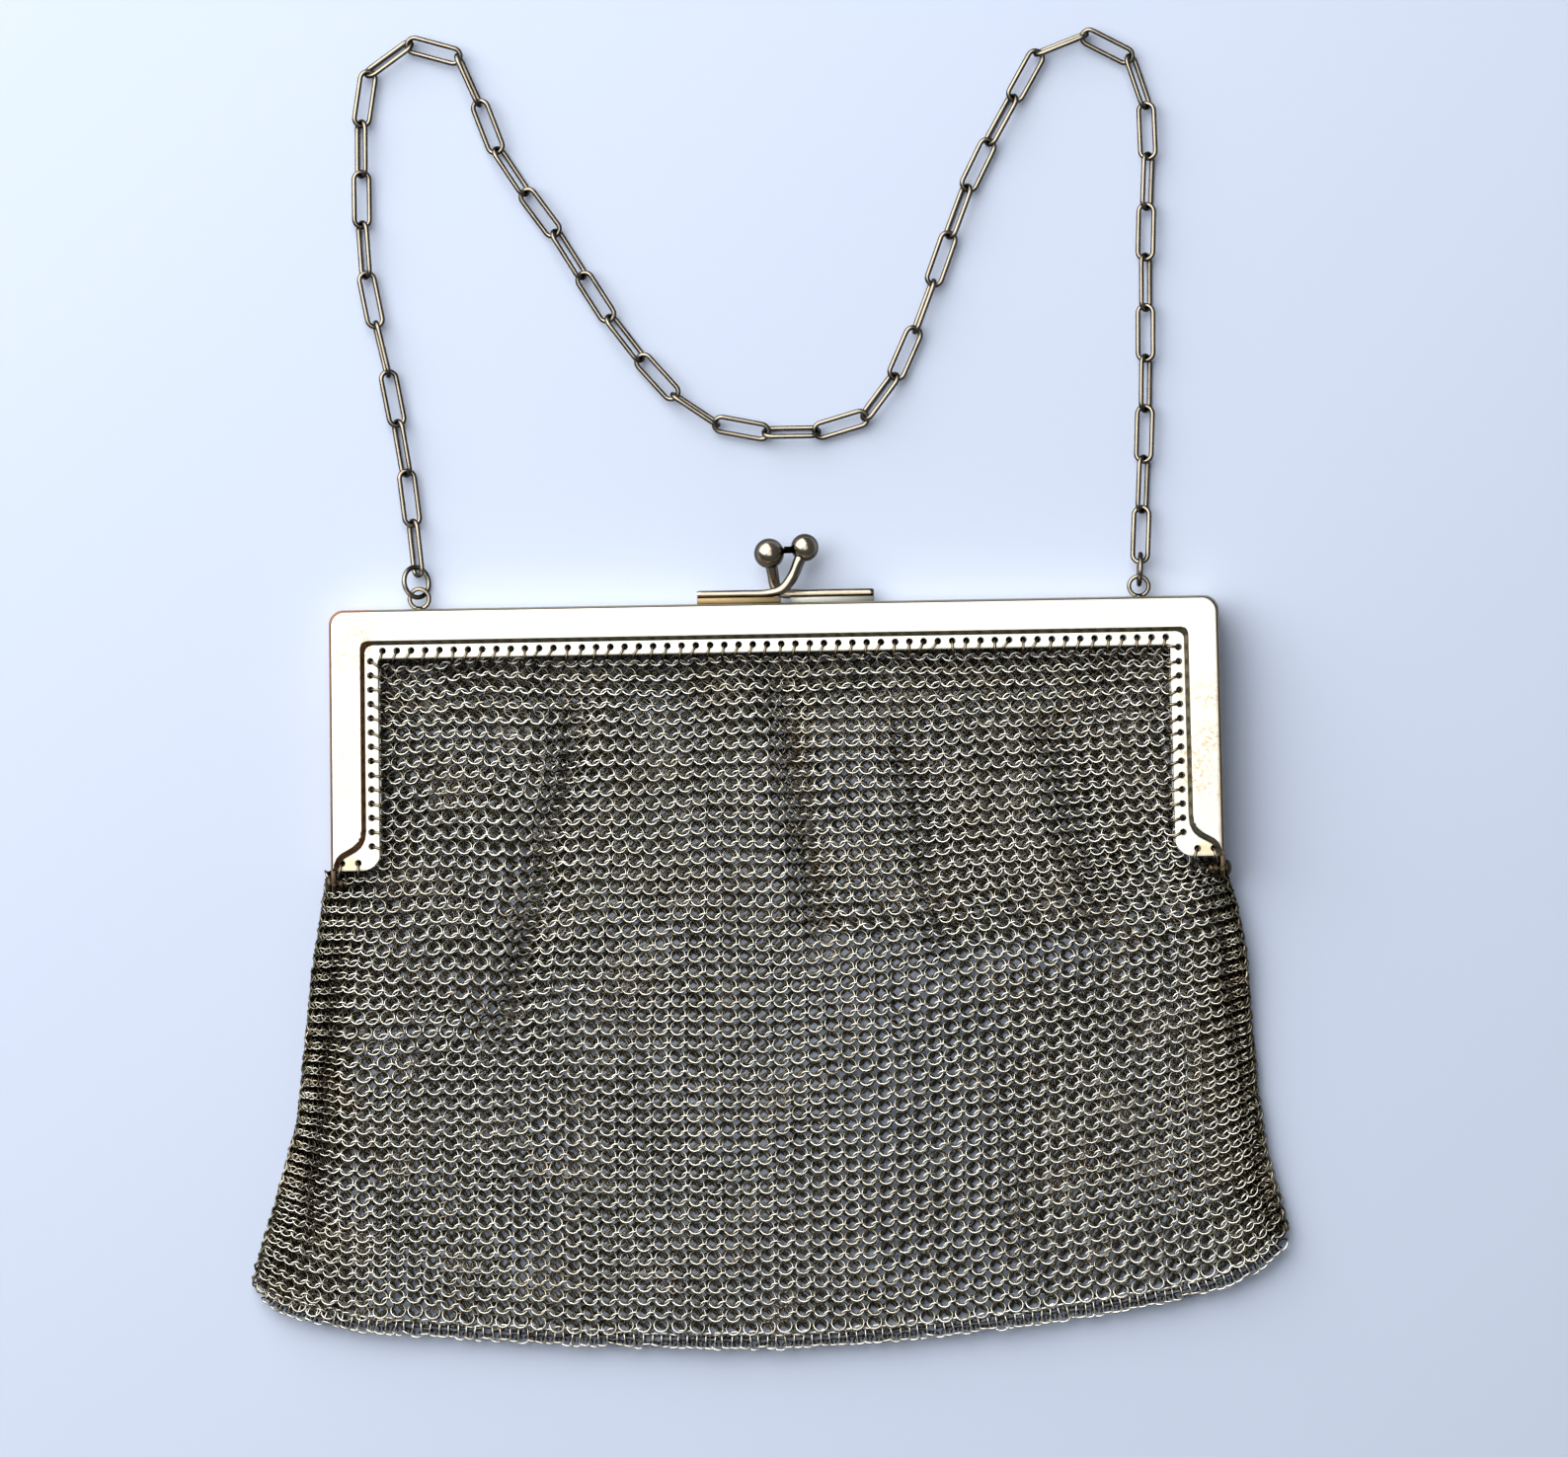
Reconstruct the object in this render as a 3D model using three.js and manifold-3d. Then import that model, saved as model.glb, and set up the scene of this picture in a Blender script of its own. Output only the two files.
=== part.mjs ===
// A metal mesh purse with a stamped kiss-lock frame and a link chain.
// It lies flat, with the chain spread out above it.
// Millimetres. +X runs along the frame, +Y from the bag to the chain, +Z up from the surface.
// The origin is in the middle of the back half's flat face, under the middle of the frame's top band.

import * as THREE from 'three';
import { mergeVertices } from 'three/addons/utils/BufferGeometryUtils.js';
import Module from 'manifold-3d';

// Frame: two stamped channels that close on each other
const FRAME_WIDTH = 152.4;
const ARM_LENGTH = 44.65;
const ARM_SPLAY = 0.4;
const BAND_WIDTH = 5.3;
const STEP_WIDTH = 0.8;
const RIM_WIDTH = 2.4;
const RIM_DROP = 1.0;
const HALF_DEPTH = 4.6;
const SHEET = 0.8;
const CORNER_RADIUS = 2.5;
const BAND_FOOT_RADIUS = 2.2;
const RIM_FOOT_RADIUS = 1.9;
const RIM_FOOT_TAB = 3.1;
const CLEARANCE = 0.3;

// Sewing holes in the rim
const HOLE_DIAMETER = 1.0;
const HOLE_PITCH = 3.7;
const HOLE_SET_BACK = 0.95;
const FOOT_HOLE_PITCH = 2.9;
const HOLE_SIDES = 4;
const ARC_STEPS = 2;

// Hinges: a lug on each half and a rivet through both
const LUG_RADIUS = 1.8;
const LUG_DROP = 2.2;
const RIVET_DIAMETER = 1.4;
const RIVET_HEAD_DIAMETER = 2.9;
const RIVET_HEAD_HEIGHT = 1.0;
const RIVET_TAIL_HEIGHT = 0.6;

// The rivet's domed head: radius and height as shares of the whole head's
const RIVET_DOME = [
  { radius: 1, height: 0 },
  { radius: 0.92, height: 0.55 },
  { radius: 0.5, height: 0.93 },
  { radius: 0, height: 1 },
];

// The rivet's tail is a little narrower than its head, and tapers
const RIVET_TAIL_WIDE = 0.9;
const RIVET_TAIL_NARROW = 0.8;

// Chain eyes and jump rings
const EYE_DIAMETER = 4.1;
const EYE_WIRE = 0.75;
const EYE_SPACING = 123.8;
const EYE_OFFSET = 1.0;
const EYE_SEAT = 0.2;
const JUMP_RING_DIAMETER = 6.1;
const JUMP_RING_WIRE = 0.85;
const RING_LIFT = 0.1;

// Clasp: two ball arms that snap past each other
const BALL_DIAMETER = 5.0;
const ARM_ROD_DIAMETER = 1.2;
const ARM_ROD_REACH = 15.2;
const ARM_STRIP_LENGTH = 14.4;
const ARM_STRIP_THICKNESS = 0.8;
const ARM_STRIP_WIDTH = 2.4;
const BALL_SPREAD = 3.1;
const CLASP_OFFSET = 2.1;
const NUB_DIAMETER = 1.4;
const NUB_LENGTH = 1.1;
const ARM_RIVET_DIAMETER = 1.0;
const ARM_RIVET_PITCH = 8.0;

// Chain
const LINK_LENGTH = 10.4;
const LINK_WIDTH = 3.5;
const LINK_WIRE = 0.85;
const LINK_OVERLAP = 0.06;
const LINK_STATIONS = 10;
const WIRE_SIDES = 5;
const LINK_ROLL_FLAT = 15;
const LINK_ROLL_TURNED = -56;
const LINK_ROLL_ON_EDGE = -78;

// Mesh bag
const BAG_LENGTH = 119.7;
const BAG_WIDTH = 178.6;
const BAG_WALL = 1.2;
const BAG_EDGE = 0.9;
const EDGE_SHARE = 0.018;
const LEDGE_SHARE = 0.001;

// Derived places
const CLOSED_DEPTH = 2 * HALF_DEPTH + CLEARANCE;
const MID_HEIGHT = CLOSED_DEPTH / 2;
const TOP_Y = BAND_WIDTH / 2;
const FOOT_Y = TOP_Y - ARM_LENGTH;
const BAND_FOOT_Y = FOOT_Y + RIM_FOOT_TAB;
const STEP_INSET = BAND_WIDTH + STEP_WIDTH;
const RIM_INSET = STEP_INSET + RIM_WIDTH;
const RIM_TOP = HALF_DEPTH - RIM_DROP;
const RIM_UNDERSIDE = RIM_TOP - SHEET;
const HALF_WIDTH = FRAME_WIDTH / 2;
const MOUTH_Y = TOP_Y - RIM_INSET - CLEARANCE;
const LUG_Y = FOOT_Y - LUG_DROP;
const FOOT_HALF_WIDTH = HALF_WIDTH + ARM_SPLAY;
const EYE_Y = TOP_Y + EYE_DIAMETER / 2 - EYE_SEAT;
const EYE_HEIGHT = HALF_DEPTH / 2;

const wasm = await Module();
wasm.setup();

// Joining and cutting
function toSolid(geometry) {
  const bare = geometry.clone();
  bare.deleteAttribute('normal');
  bare.deleteAttribute('uv');
  const merged = mergeVertices(bare, 1e-4);
  const vertProperties = new Float32Array(merged.attributes.position.array);
  const triVerts = new Uint32Array(merged.index.array);
  return new wasm.Manifold(new wasm.Mesh({ numProp: 3, vertProperties, triVerts }));
}

function toGeometry(solid) {
  const mesh = solid.getMesh();
  const geometry = new THREE.BufferGeometry();
  geometry.setAttribute('position', new THREE.Float32BufferAttribute(mesh.vertProperties, 3));
  geometry.setIndex(Array.from(mesh.triVerts));
  return geometry;
}

function joined(solids) {
  return solids.reduce((whole, solid) => whole.add(solid));
}

function without(solid, cutters) {
  return cutters.reduce((whole, cutter) => whole.subtract(cutter), solid);
}

function boxSolid(low, high) {
  const size = high.map((value, axis) => value - low[axis]);
  const geometry = new THREE.BoxGeometry(...size);
  geometry.translate(...low.map((value, axis) => value + size[axis] / 2));
  return toSolid(geometry);
}

// A closed skin over rings of points, one ring after another, with flat ends
function loft(rings) {
  const count = rings[0].length;
  const positions = rings.flat().flatMap((point) => [point.x, point.y, point.z]);
  const indices = [];
  for (let row = 0; row + 1 < rings.length; row += 1) {
    for (let column = 0; column < count; column += 1) {
      const next = (column + 1) % count;
      const a = row * count + column;
      const b = row * count + next;
      const c = a + count;
      const d = b + count;
      indices.push(a, c, b, b, c, d);
    }
  }
  const endRows = [0, rings.length - 1];
  for (const row of endRows) {
    const outline = rings[row].map((point) => new THREE.Vector2(point.x, point.z));
    for (const [a, b, c] of THREE.ShapeUtils.triangulateShape(outline, [])) {
      const face = [a + row * count, b + row * count, c + row * count];
      indices.push(...(row === 0 ? face.reverse() : face));
    }
  }
  const geometry = new THREE.BufferGeometry();
  geometry.setAttribute('position', new THREE.Float32BufferAttribute(positions, 3));
  geometry.setIndex(indices);
  return geometry;
}

function rod(points, diameter, sides, steps) {
  const section = new THREE.Shape();
  for (let side = 0; side < sides; side += 1) {
    const angle = (2 * Math.PI * side) / sides;
    const x = (diameter / 2) * Math.cos(angle);
    const y = (diameter / 2) * Math.sin(angle);
    if (side === 0) section.moveTo(x, y);
    else section.lineTo(x, y);
  }
  const extrudePath = new THREE.CatmullRomCurve3(points);
  return toSolid(new THREE.ExtrudeGeometry(section, { steps, extrudePath, bevelEnabled: false }));
}

// Frame halves, drawn with the meeting plane at height 0 and the face at HALF_DEPTH
function frameOutline(outerInset, innerInset, footY, footRadius) {
  const outer = HALF_WIDTH - outerInset;
  const inner = HALF_WIDTH - innerInset;
  const top = TOP_Y - outerInset;
  const innerTop = TOP_Y - innerInset;
  const corner = Math.max(CORNER_RADIUS - outerInset, SHEET / 2);
  const shape = new THREE.Shape();
  shape.moveTo(-outer - ARM_SPLAY, footY);
  shape.lineTo(-outer, top - corner);
  shape.absarc(-outer + corner, top - corner, corner, Math.PI, Math.PI / 2, true);
  shape.lineTo(outer - corner, top);
  shape.absarc(outer - corner, top - corner, corner, Math.PI / 2, 0, true);
  shape.lineTo(outer + ARM_SPLAY, footY);
  const footInner = inner + ARM_SPLAY;
  if (footRadius > 0) {
    const centreX = footInner + footRadius;
    const centreY = footY + footRadius;
    shape.lineTo(centreX, footY);
    shape.absarc(centreX, centreY, footRadius, -Math.PI / 2, -Math.PI, true);
  } else {
    shape.lineTo(footInner, footY);
  }
  shape.lineTo(inner, innerTop);
  shape.lineTo(-inner, innerTop);
  if (footRadius > 0) {
    const centreX = -footInner - footRadius;
    shape.lineTo(-footInner, footY + footRadius);
    shape.absarc(centreX, footY + footRadius, footRadius, 0, -Math.PI / 2, true);
  } else {
    shape.lineTo(-footInner, footY);
  }
  shape.closePath();
  return shape;
}

function framePrism(shape, low, high) {
  const settings = { depth: high - low, bevelEnabled: false, curveSegments: ARC_STEPS };
  return toSolid(new THREE.ExtrudeGeometry(shape, settings).translate(0, 0, low));
}

// A prism whose upper edges fall away in the rounded pressed step
function pressedPrism(shape, high) {
  const settings = {
    depth: high - RIM_DROP,
    bevelEnabled: true,
    bevelThickness: RIM_DROP,
    bevelSize: STEP_WIDTH,
    bevelOffset: -STEP_WIDTH,
    bevelSegments: 2,
    curveSegments: ARC_STEPS,
  };
  return toSolid(new THREE.ExtrudeGeometry(shape, settings));
}

function armShift(y) {
  return (ARM_SPLAY * (TOP_Y - y)) / ARM_LENGTH;
}

function holePlaces() {
  const inset = STEP_INSET + HOLE_SET_BACK;
  const places = [];
  const reach = HALF_WIDTH - RIM_INSET - HOLE_DIAMETER / 2;
  const gaps = Math.round((2 * reach) / HOLE_PITCH);
  for (let index = 0; index <= gaps; index += 1) {
    places.push([-reach + (2 * reach * index) / gaps, TOP_Y - inset]);
  }
  const firstY = TOP_Y - RIM_INSET - HOLE_DIAMETER / 4;
  const armRows = Math.floor((firstY - BAND_FOOT_Y) / HOLE_PITCH);
  for (const side of [-1, 1]) {
    for (let row = 0; row <= armRows; row += 1) {
      const y = firstY - row * HOLE_PITCH;
      places.push([side * (HALF_WIDTH - inset + armShift(y)), y]);
    }
    const footHoleY = (BAND_FOOT_Y + FOOT_Y) / 2;
    const footHoleX = FOOT_HALF_WIDTH - BAND_WIDTH / 2;
    places.push([side * (footHoleX - FOOT_HOLE_PITCH / 2), footHoleY]);
    places.push([side * (footHoleX + FOOT_HOLE_PITCH / 2), footHoleY]);
  }
  return places;
}

function stampedHalf() {
  const band = pressedPrism(frameOutline(0, STEP_INSET, BAND_FOOT_Y, BAND_FOOT_RADIUS), HALF_DEPTH);
  const wall = framePrism(frameOutline(0, SHEET, FOOT_Y, 0), 0, RIM_TOP);
  const rimOutline = frameOutline(SHEET / 2, RIM_INSET, FOOT_Y, RIM_FOOT_RADIUS);
  const rim = framePrism(rimOutline, RIM_UNDERSIDE, RIM_TOP);
  const openInset = RIM_INSET + SHEET;
  const channelOutline = frameOutline(SHEET, openInset, FOOT_Y - SHEET, 0);
  const channel = framePrism(channelOutline, -HALF_DEPTH, RIM_UNDERSIDE);
  const hollowOutline = frameOutline(SHEET, STEP_INSET - SHEET, BAND_FOOT_Y + SHEET, BAND_FOOT_RADIUS);
  const hollow = pressedPrism(hollowOutline, HALF_DEPTH - SHEET);
  const far = FRAME_WIDTH;
  const below = boxSolid([-far, -far, -far], [far, far, 0]);
  const drills = holePlaces().map(([x, y]) => {
    const radius = HOLE_DIAMETER / 2 / Math.sqrt(Math.cos(Math.PI / HOLE_SIDES));
    const drill = new THREE.CylinderGeometry(radius, radius, HALF_DEPTH, HOLE_SIDES);
    drill.rotateX(Math.PI / 2).translate(x, y, RIM_TOP);
    return toSolid(drill);
  });
  return without(joined([band, wall, rim]), [below, channel, hollow, ...drills]);
}

// A hinge lug: a drilled disc on the rivet's axis and the neck that joins it to its half.
// lugFace is the distance from the frame's middle to the lug's outer face.
function lug(side, lugFace) {
  const disc = new THREE.CylinderGeometry(LUG_RADIUS, LUG_RADIUS, SHEET, 10);
  disc.rotateZ(Math.PI / 2);
  const neck = new THREE.Shape();
  const rootY = FOOT_Y + RIM_FOOT_TAB / 2 - LUG_Y;
  neck.moveTo(-LUG_RADIUS, 0);
  neck.lineTo(0, LUG_RADIUS);
  neck.lineTo(rootY, RIM_UNDERSIDE);
  neck.lineTo(rootY, CLEARANCE);
  neck.lineTo(0, CLEARANCE);
  const plate = new THREE.ExtrudeGeometry(neck, { depth: SHEET, bevelEnabled: false });
  // The outline's first axis runs along Y and its second along Z, so the plate's depth runs along X
  plate.applyMatrix4(new THREE.Matrix4().set(0, 0, 1, -SHEET / 2, 1, 0, 0, 0, 0, 1, 0, 0, 0, 0, 0, 1));
  const x = side * (lugFace - SHEET / 2);
  return [disc, plate].map((geometry) => toSolid(geometry.translate(x, LUG_Y, 0)));
}

const OUTER_LUG_FACE = FOOT_HALF_WIDTH;
const INNER_LUG_FACE = OUTER_LUG_FACE - SHEET - CLEARANCE;

function rivetHole(side) {
  const radius = RIVET_DIAMETER / 2 + CLEARANCE;
  const hole = new THREE.CylinderGeometry(radius, radius, 6 * SHEET, 8);
  hole.rotateZ(Math.PI / 2).translate(side * OUTER_LUG_FACE, LUG_Y, -CLEARANCE / 2);
  return toSolid(hole);
}

function armRivetHoles(armTurn) {
  return armRivetPlaces().map((x) => {
    const radius = ARM_RIVET_DIAMETER / 2 + CLEARANCE;
    const hole = new THREE.CylinderGeometry(radius, radius, 4 * SHEET, 6);
    hole.translate(armTurn * CLASP_OFFSET + x, TOP_Y, HALF_DEPTH / 2);
    return toSolid(hole);
  });
}

function armRivetPlaces() {
  const middle = -ARM_ROD_REACH + ARM_STRIP_LENGTH / 2;
  return [middle - ARM_RIVET_PITCH / 2, middle + ARM_RIVET_PITCH / 2];
}

const stamped = stampedHalf();

// The lugs' discs centre on the closing plane, half a gap below this half's meeting plane
function halfWithLugs(lugFace, armTurn) {
  const parts = [stamped];
  for (const side of [-1, 1]) {
    const pieces = lug(side, lugFace).map((piece) => piece.translate([0, 0, -CLEARANCE / 2]));
    parts.push(...pieces);
    if (lugFace < OUTER_LUG_FACE) {
      const inner = side * (lugFace - SHEET);
      const outer = side * (FOOT_HALF_WIDTH - SHEET / 2);
      const low = [Math.min(inner, outer), FOOT_Y, CLEARANCE];
      const high = [Math.max(inner, outer), FOOT_Y + SHEET, RIM_UNDERSIDE + SHEET / 2];
      parts.push(boxSolid(low, high));
    }
  }
  const holes = [rivetHole(-1), rivetHole(1), ...armRivetHoles(armTurn)];
  return without(joined(parts), holes);
}

function eye(x) {
  const radius = (EYE_DIAMETER - EYE_WIRE) / 2;
  const ring = new THREE.TorusGeometry(radius, EYE_WIRE / 2, WIRE_SIDES, 12);
  return toSolid(ring.translate(x, EYE_Y, EYE_HEIGHT));
}

const EYE_PLACES = { left: EYE_OFFSET - EYE_SPACING / 2, right: EYE_OFFSET + EYE_SPACING / 2 };

// A half turn about Y carries a half drawn face up to the purse's underside
function turnedOver(solid) {
  return solid.rotate([0, 180, 0]).translate([0, 0, HALF_DEPTH]);
}

function frameFront() {
  return halfWithLugs(OUTER_LUG_FACE, 1).translate([0, 0, CLOSED_DEPTH - HALF_DEPTH]);
}

function frameBack() {
  const half = turnedOver(halfWithLugs(INNER_LUG_FACE, -1));
  return joined([half, eye(EYE_PLACES.left), eye(EYE_PLACES.right)]);
}

// Hinge rivets, turned about X
function hingeRivet(side) {
  const outerFace = OUTER_LUG_FACE + CLEARANCE;
  const innerFace = INNER_LUG_FACE - SHEET - CLEARANCE;
  const headRadius = RIVET_HEAD_DIAMETER / 2;
  const dome = RIVET_DOME.map((ring) => [
    ring.radius * headRadius,
    outerFace + ring.height * RIVET_HEAD_HEIGHT,
  ]);
  const profile = [
    [0, innerFace - RIVET_TAIL_HEIGHT],
    [headRadius * RIVET_TAIL_NARROW, innerFace - RIVET_TAIL_HEIGHT],
    [headRadius * RIVET_TAIL_WIDE, innerFace],
    [RIVET_DIAMETER / 2, innerFace],
    [RIVET_DIAMETER / 2, outerFace],
    ...dome,
  ];
  const rivet = new THREE.LatheGeometry(profile.map(([r, h]) => new THREE.Vector2(r, h)), 10);
  rivet.rotateZ(-Math.PI / 2);
  if (side < 0) rivet.rotateY(Math.PI);
  return toSolid(rivet.translate(0, LUG_Y, MID_HEIGHT));
}

// Clasp arms, drawn for the front half about the clasp's own middle: strip, rod, neck, ball and rivets
const CLASP_ARMS = [
  { name: 'clasp_arm_front', reach: 12.1, nub: true },
  { name: 'clasp_arm_back', reach: 11.2, nub: false },
];

// The rod's bend up to its ball. across is a share of BALL_SPREAD, climb a share of the way up to the ball,
// and height a share of the rod's height over the closing plane.
const ROD_BEND = [
  { across: -1, climb: 0.01, height: 1 },
  { across: -0.25, climb: 0.1, height: 1 },
  { across: 0.35, climb: 0.35, height: 0.79 },
  { across: 0.72, climb: 0.72, height: 0.19 },
  { across: 1, climb: 1, height: 0 },
];
const ROD_SEAT = 0.45;

function claspArm({ reach, nub }) {
  const seatY = TOP_Y + CLEARANCE;
  const seatHeight = CLOSED_DEPTH - HALF_DEPTH / 2;
  const rodY = seatY + ARM_STRIP_THICKNESS + ARM_ROD_DIAMETER * ROD_SEAT;
  const stripStart = -ARM_ROD_REACH;
  const ball = new THREE.Vector3(BALL_SPREAD, reach, MID_HEIGHT);
  const bend = ROD_BEND.map(({ across, climb, height }) => new THREE.Vector3(
    across * BALL_SPREAD,
    rodY + climb * (reach - rodY),
    MID_HEIGHT + height * (seatHeight - MID_HEIGHT),
  ));
  const path = [
    new THREE.Vector3(stripStart, rodY, seatHeight),
    new THREE.Vector3(stripStart / 2, rodY, seatHeight),
    ...bend,
  ];
  const stripLow = [stripStart, seatY, seatHeight - ARM_STRIP_WIDTH / 2];
  const stripHigh = [
    stripStart + ARM_STRIP_LENGTH,
    seatY + ARM_STRIP_THICKNESS,
    seatHeight + ARM_STRIP_WIDTH / 2,
  ];
  const parts = [
    boxSolid(stripLow, stripHigh),
    rod(path, ARM_ROD_DIAMETER, 6, 11),
    toSolid(new THREE.SphereGeometry(BALL_DIAMETER / 2, 10, 7).translate(...ball)),
  ];
  if (nub) {
    const length = BALL_DIAMETER / 2 + NUB_LENGTH;
    const stub = new THREE.CylinderGeometry(NUB_DIAMETER / 2, NUB_DIAMETER / 2, length, 6);
    stub.rotateZ(Math.PI / 2).translate(ball.x - length / 2, ball.y - NUB_DIAMETER / 4, ball.z);
    parts.push(toSolid(stub));
  }
  for (const x of armRivetPlaces()) {
    const tail = ARM_RIVET_DIAMETER;
    const length = ARM_STRIP_THICKNESS / 2 + 2 * CLEARANCE + SHEET;
    const shank = new THREE.CylinderGeometry(tail / 2, tail / 2, length + tail / 2, 6);
    shank.translate(x, seatY + ARM_STRIP_THICKNESS / 2 - (length + tail / 2) / 2, seatHeight);
    const headY = TOP_Y - SHEET - CLEARANCE - tail / 4;
    const head = new THREE.CylinderGeometry(tail, tail, tail / 2, 6).translate(x, headY, seatHeight);
    parts.push(toSolid(shank), toSolid(head));
  }
  return joined(parts);
}

// Chain: its joints lie on a smooth route over these chosen points, from the left eye to the right one
const CHAIN_ROUTE = [
  [-61.0, 8.9], [-62.8, 26.2], [-65.7, 43.5], [-69.2, 60.8], [-69.6, 79.0], [-69.3, 88.3],
  [-67.3, 96.4], [-59.8, 100.2], [-51.6, 96.7], [-48.9, 88.7], [-45.8, 80.7], [-35.9, 66.3],
  [-27.1, 51.9], [-15.5, 37.9], [-7.8, 33.2], [0.6, 32.0], [8.8, 32.2], [17.3, 35.1],
  [22.1, 42.3], [28.7, 58.1], [35.0, 74.5], [42.7, 88.7], [47.3, 96.6], [54.7, 99.6],
  [62.3, 96.3], [65.5, 88.2], [65.1, 62.5], [64.6, 35.9], [63.2, 9.0],
];
const LINKS_ON_EDGE = [4, 12, 20, 26, 32];

// Steps along the route by straight distances of one pitch, and returns the joints that it reaches
function walk(points, pitch, count) {
  const joints = [points[0]];
  let last = 0;
  for (let index = 1; index < points.length && joints.length <= count; index += 1) {
    const from = joints[joints.length - 1];
    if (points[index].distanceTo(from) < pitch) {
      last = index;
      continue;
    }
    const a = points[last];
    const b = points[index];
    const excess = points[index].distanceTo(from) - pitch;
    joints.push(b.clone().lerp(a, Math.min(1, excess / Math.max(b.distanceTo(a), 1e-6))));
    last = index;
  }
  return joints;
}

function linkRoll(index) {
  if (LINKS_ON_EDGE.includes(index)) return LINK_ROLL_ON_EDGE;
  return index % 2 === 0 ? LINK_ROLL_TURNED : LINK_ROLL_FLAT;
}

function restHeight(roll) {
  const tilt = Math.abs(Math.sin(THREE.MathUtils.degToRad(roll)));
  return ((LINK_WIDTH - LINK_WIRE) / 2) * tilt + LINK_WIRE / 2;
}

function chainJoints() {
  const route = new THREE.CatmullRomCurve3(
    CHAIN_ROUTE.map(([x, y]) => new THREE.Vector3(x, y, 0)), false, 'centripetal');
  const points = route.getSpacedPoints(6000);
  const nominal = LINK_LENGTH - 2 * LINK_WIRE;
  const count = Math.round(route.getLength() / nominal);
  let low = nominal * 0.9;
  let high = nominal * 1.1;
  for (let pass = 0; pass < 40; pass += 1) {
    const pitch = (low + high) / 2;
    if (walk(points, pitch, count).length > count) low = pitch;
    else high = pitch;
  }
  const joints = walk(points, low, count);
  joints.forEach((joint, index) => {
    const before = restHeight(linkRoll(Math.max(index - 1, 0)));
    const after = restHeight(linkRoll(Math.min(index, count - 1)));
    joint.z = Math.max(before, after);
  });
  joints[0].z = JUMP_RINGS[0].hookHeight;
  joints[joints.length - 1].z = JUMP_RINGS[1].hookHeight;
  return joints;
}

// A link: a ring of ten stations, pulled apart at its middle into two straight legs. The wire's radius is
// negative so that its section has a corner on the inside of the bow, where the next link bears.
function linkSolid(from, to, roll) {
  const direction = to.clone().sub(from);
  const widest = (4 * Math.PI) / LINK_STATIONS;
  const bow = (LINK_WIDTH - LINK_WIRE) / 2 / Math.sin(widest);
  const ring = new THREE.TorusGeometry(bow, -LINK_WIRE / 2, WIRE_SIDES, LINK_STATIONS);
  const reach = (direction.length() + LINK_WIRE - LINK_OVERLAP) / 2 - bow;
  const positions = ring.attributes.position;
  for (let index = 0; index < positions.count; index += 1) {
    const x = positions.getX(index);
    positions.setX(index, x + Math.sign(x) * reach);
  }
  ring.rotateX(THREE.MathUtils.degToRad(roll));
  const along = direction.normalize();
  const across = new THREE.Vector3(0, 0, 1).cross(along).normalize();
  const up = along.clone().cross(across);
  const middle = from.clone().add(to).multiplyScalar(0.5);
  ring.applyMatrix4(new THREE.Matrix4().makeBasis(along, across, up).setPosition(middle));
  return toSolid(ring);
}

function chain() {
  const joints = chainJoints();
  const links = joints.slice(1).map((to, index) => linkSolid(joints[index], to, linkRoll(index)));
  return joined(links);
}

// Jump rings: the left one leans over, the right one stands on edge
const JUMP_RINGS = [
  { name: 'jump_ring_left', x: EYE_PLACES.left, lean: -50, swing: 10, hookHeight: 0.8 * EYE_HEIGHT },
  { name: 'jump_ring_right', x: EYE_PLACES.right, lean: 0, swing: -4, hookHeight: EYE_HEIGHT + CLEARANCE },
];

function jumpRing({ x, lean, swing }) {
  const radius = (JUMP_RING_DIAMETER - JUMP_RING_WIRE) / 2;
  const ring = new THREE.TorusGeometry(radius, JUMP_RING_WIRE / 2, WIRE_SIDES, 11);
  ring.rotateY(Math.PI / 2);
  ring.translate(0, radius, 0);
  ring.rotateY(THREE.MathUtils.degToRad(lean));
  ring.rotateZ(THREE.MathUtils.degToRad(swing));
  const hold = EYE_Y + (EYE_DIAMETER - EYE_WIRE) / 2 - (EYE_WIRE + JUMP_RING_WIRE) / 2 - 2 * CLEARANCE;
  const standing = (JUMP_RING_DIAMETER / 2) * Math.cos(THREE.MathUtils.degToRad(lean)) + RING_LIFT;
  const height = Math.max(EYE_HEIGHT, standing);
  return toSolid(ring.translate(x, hold, height));
}

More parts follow.
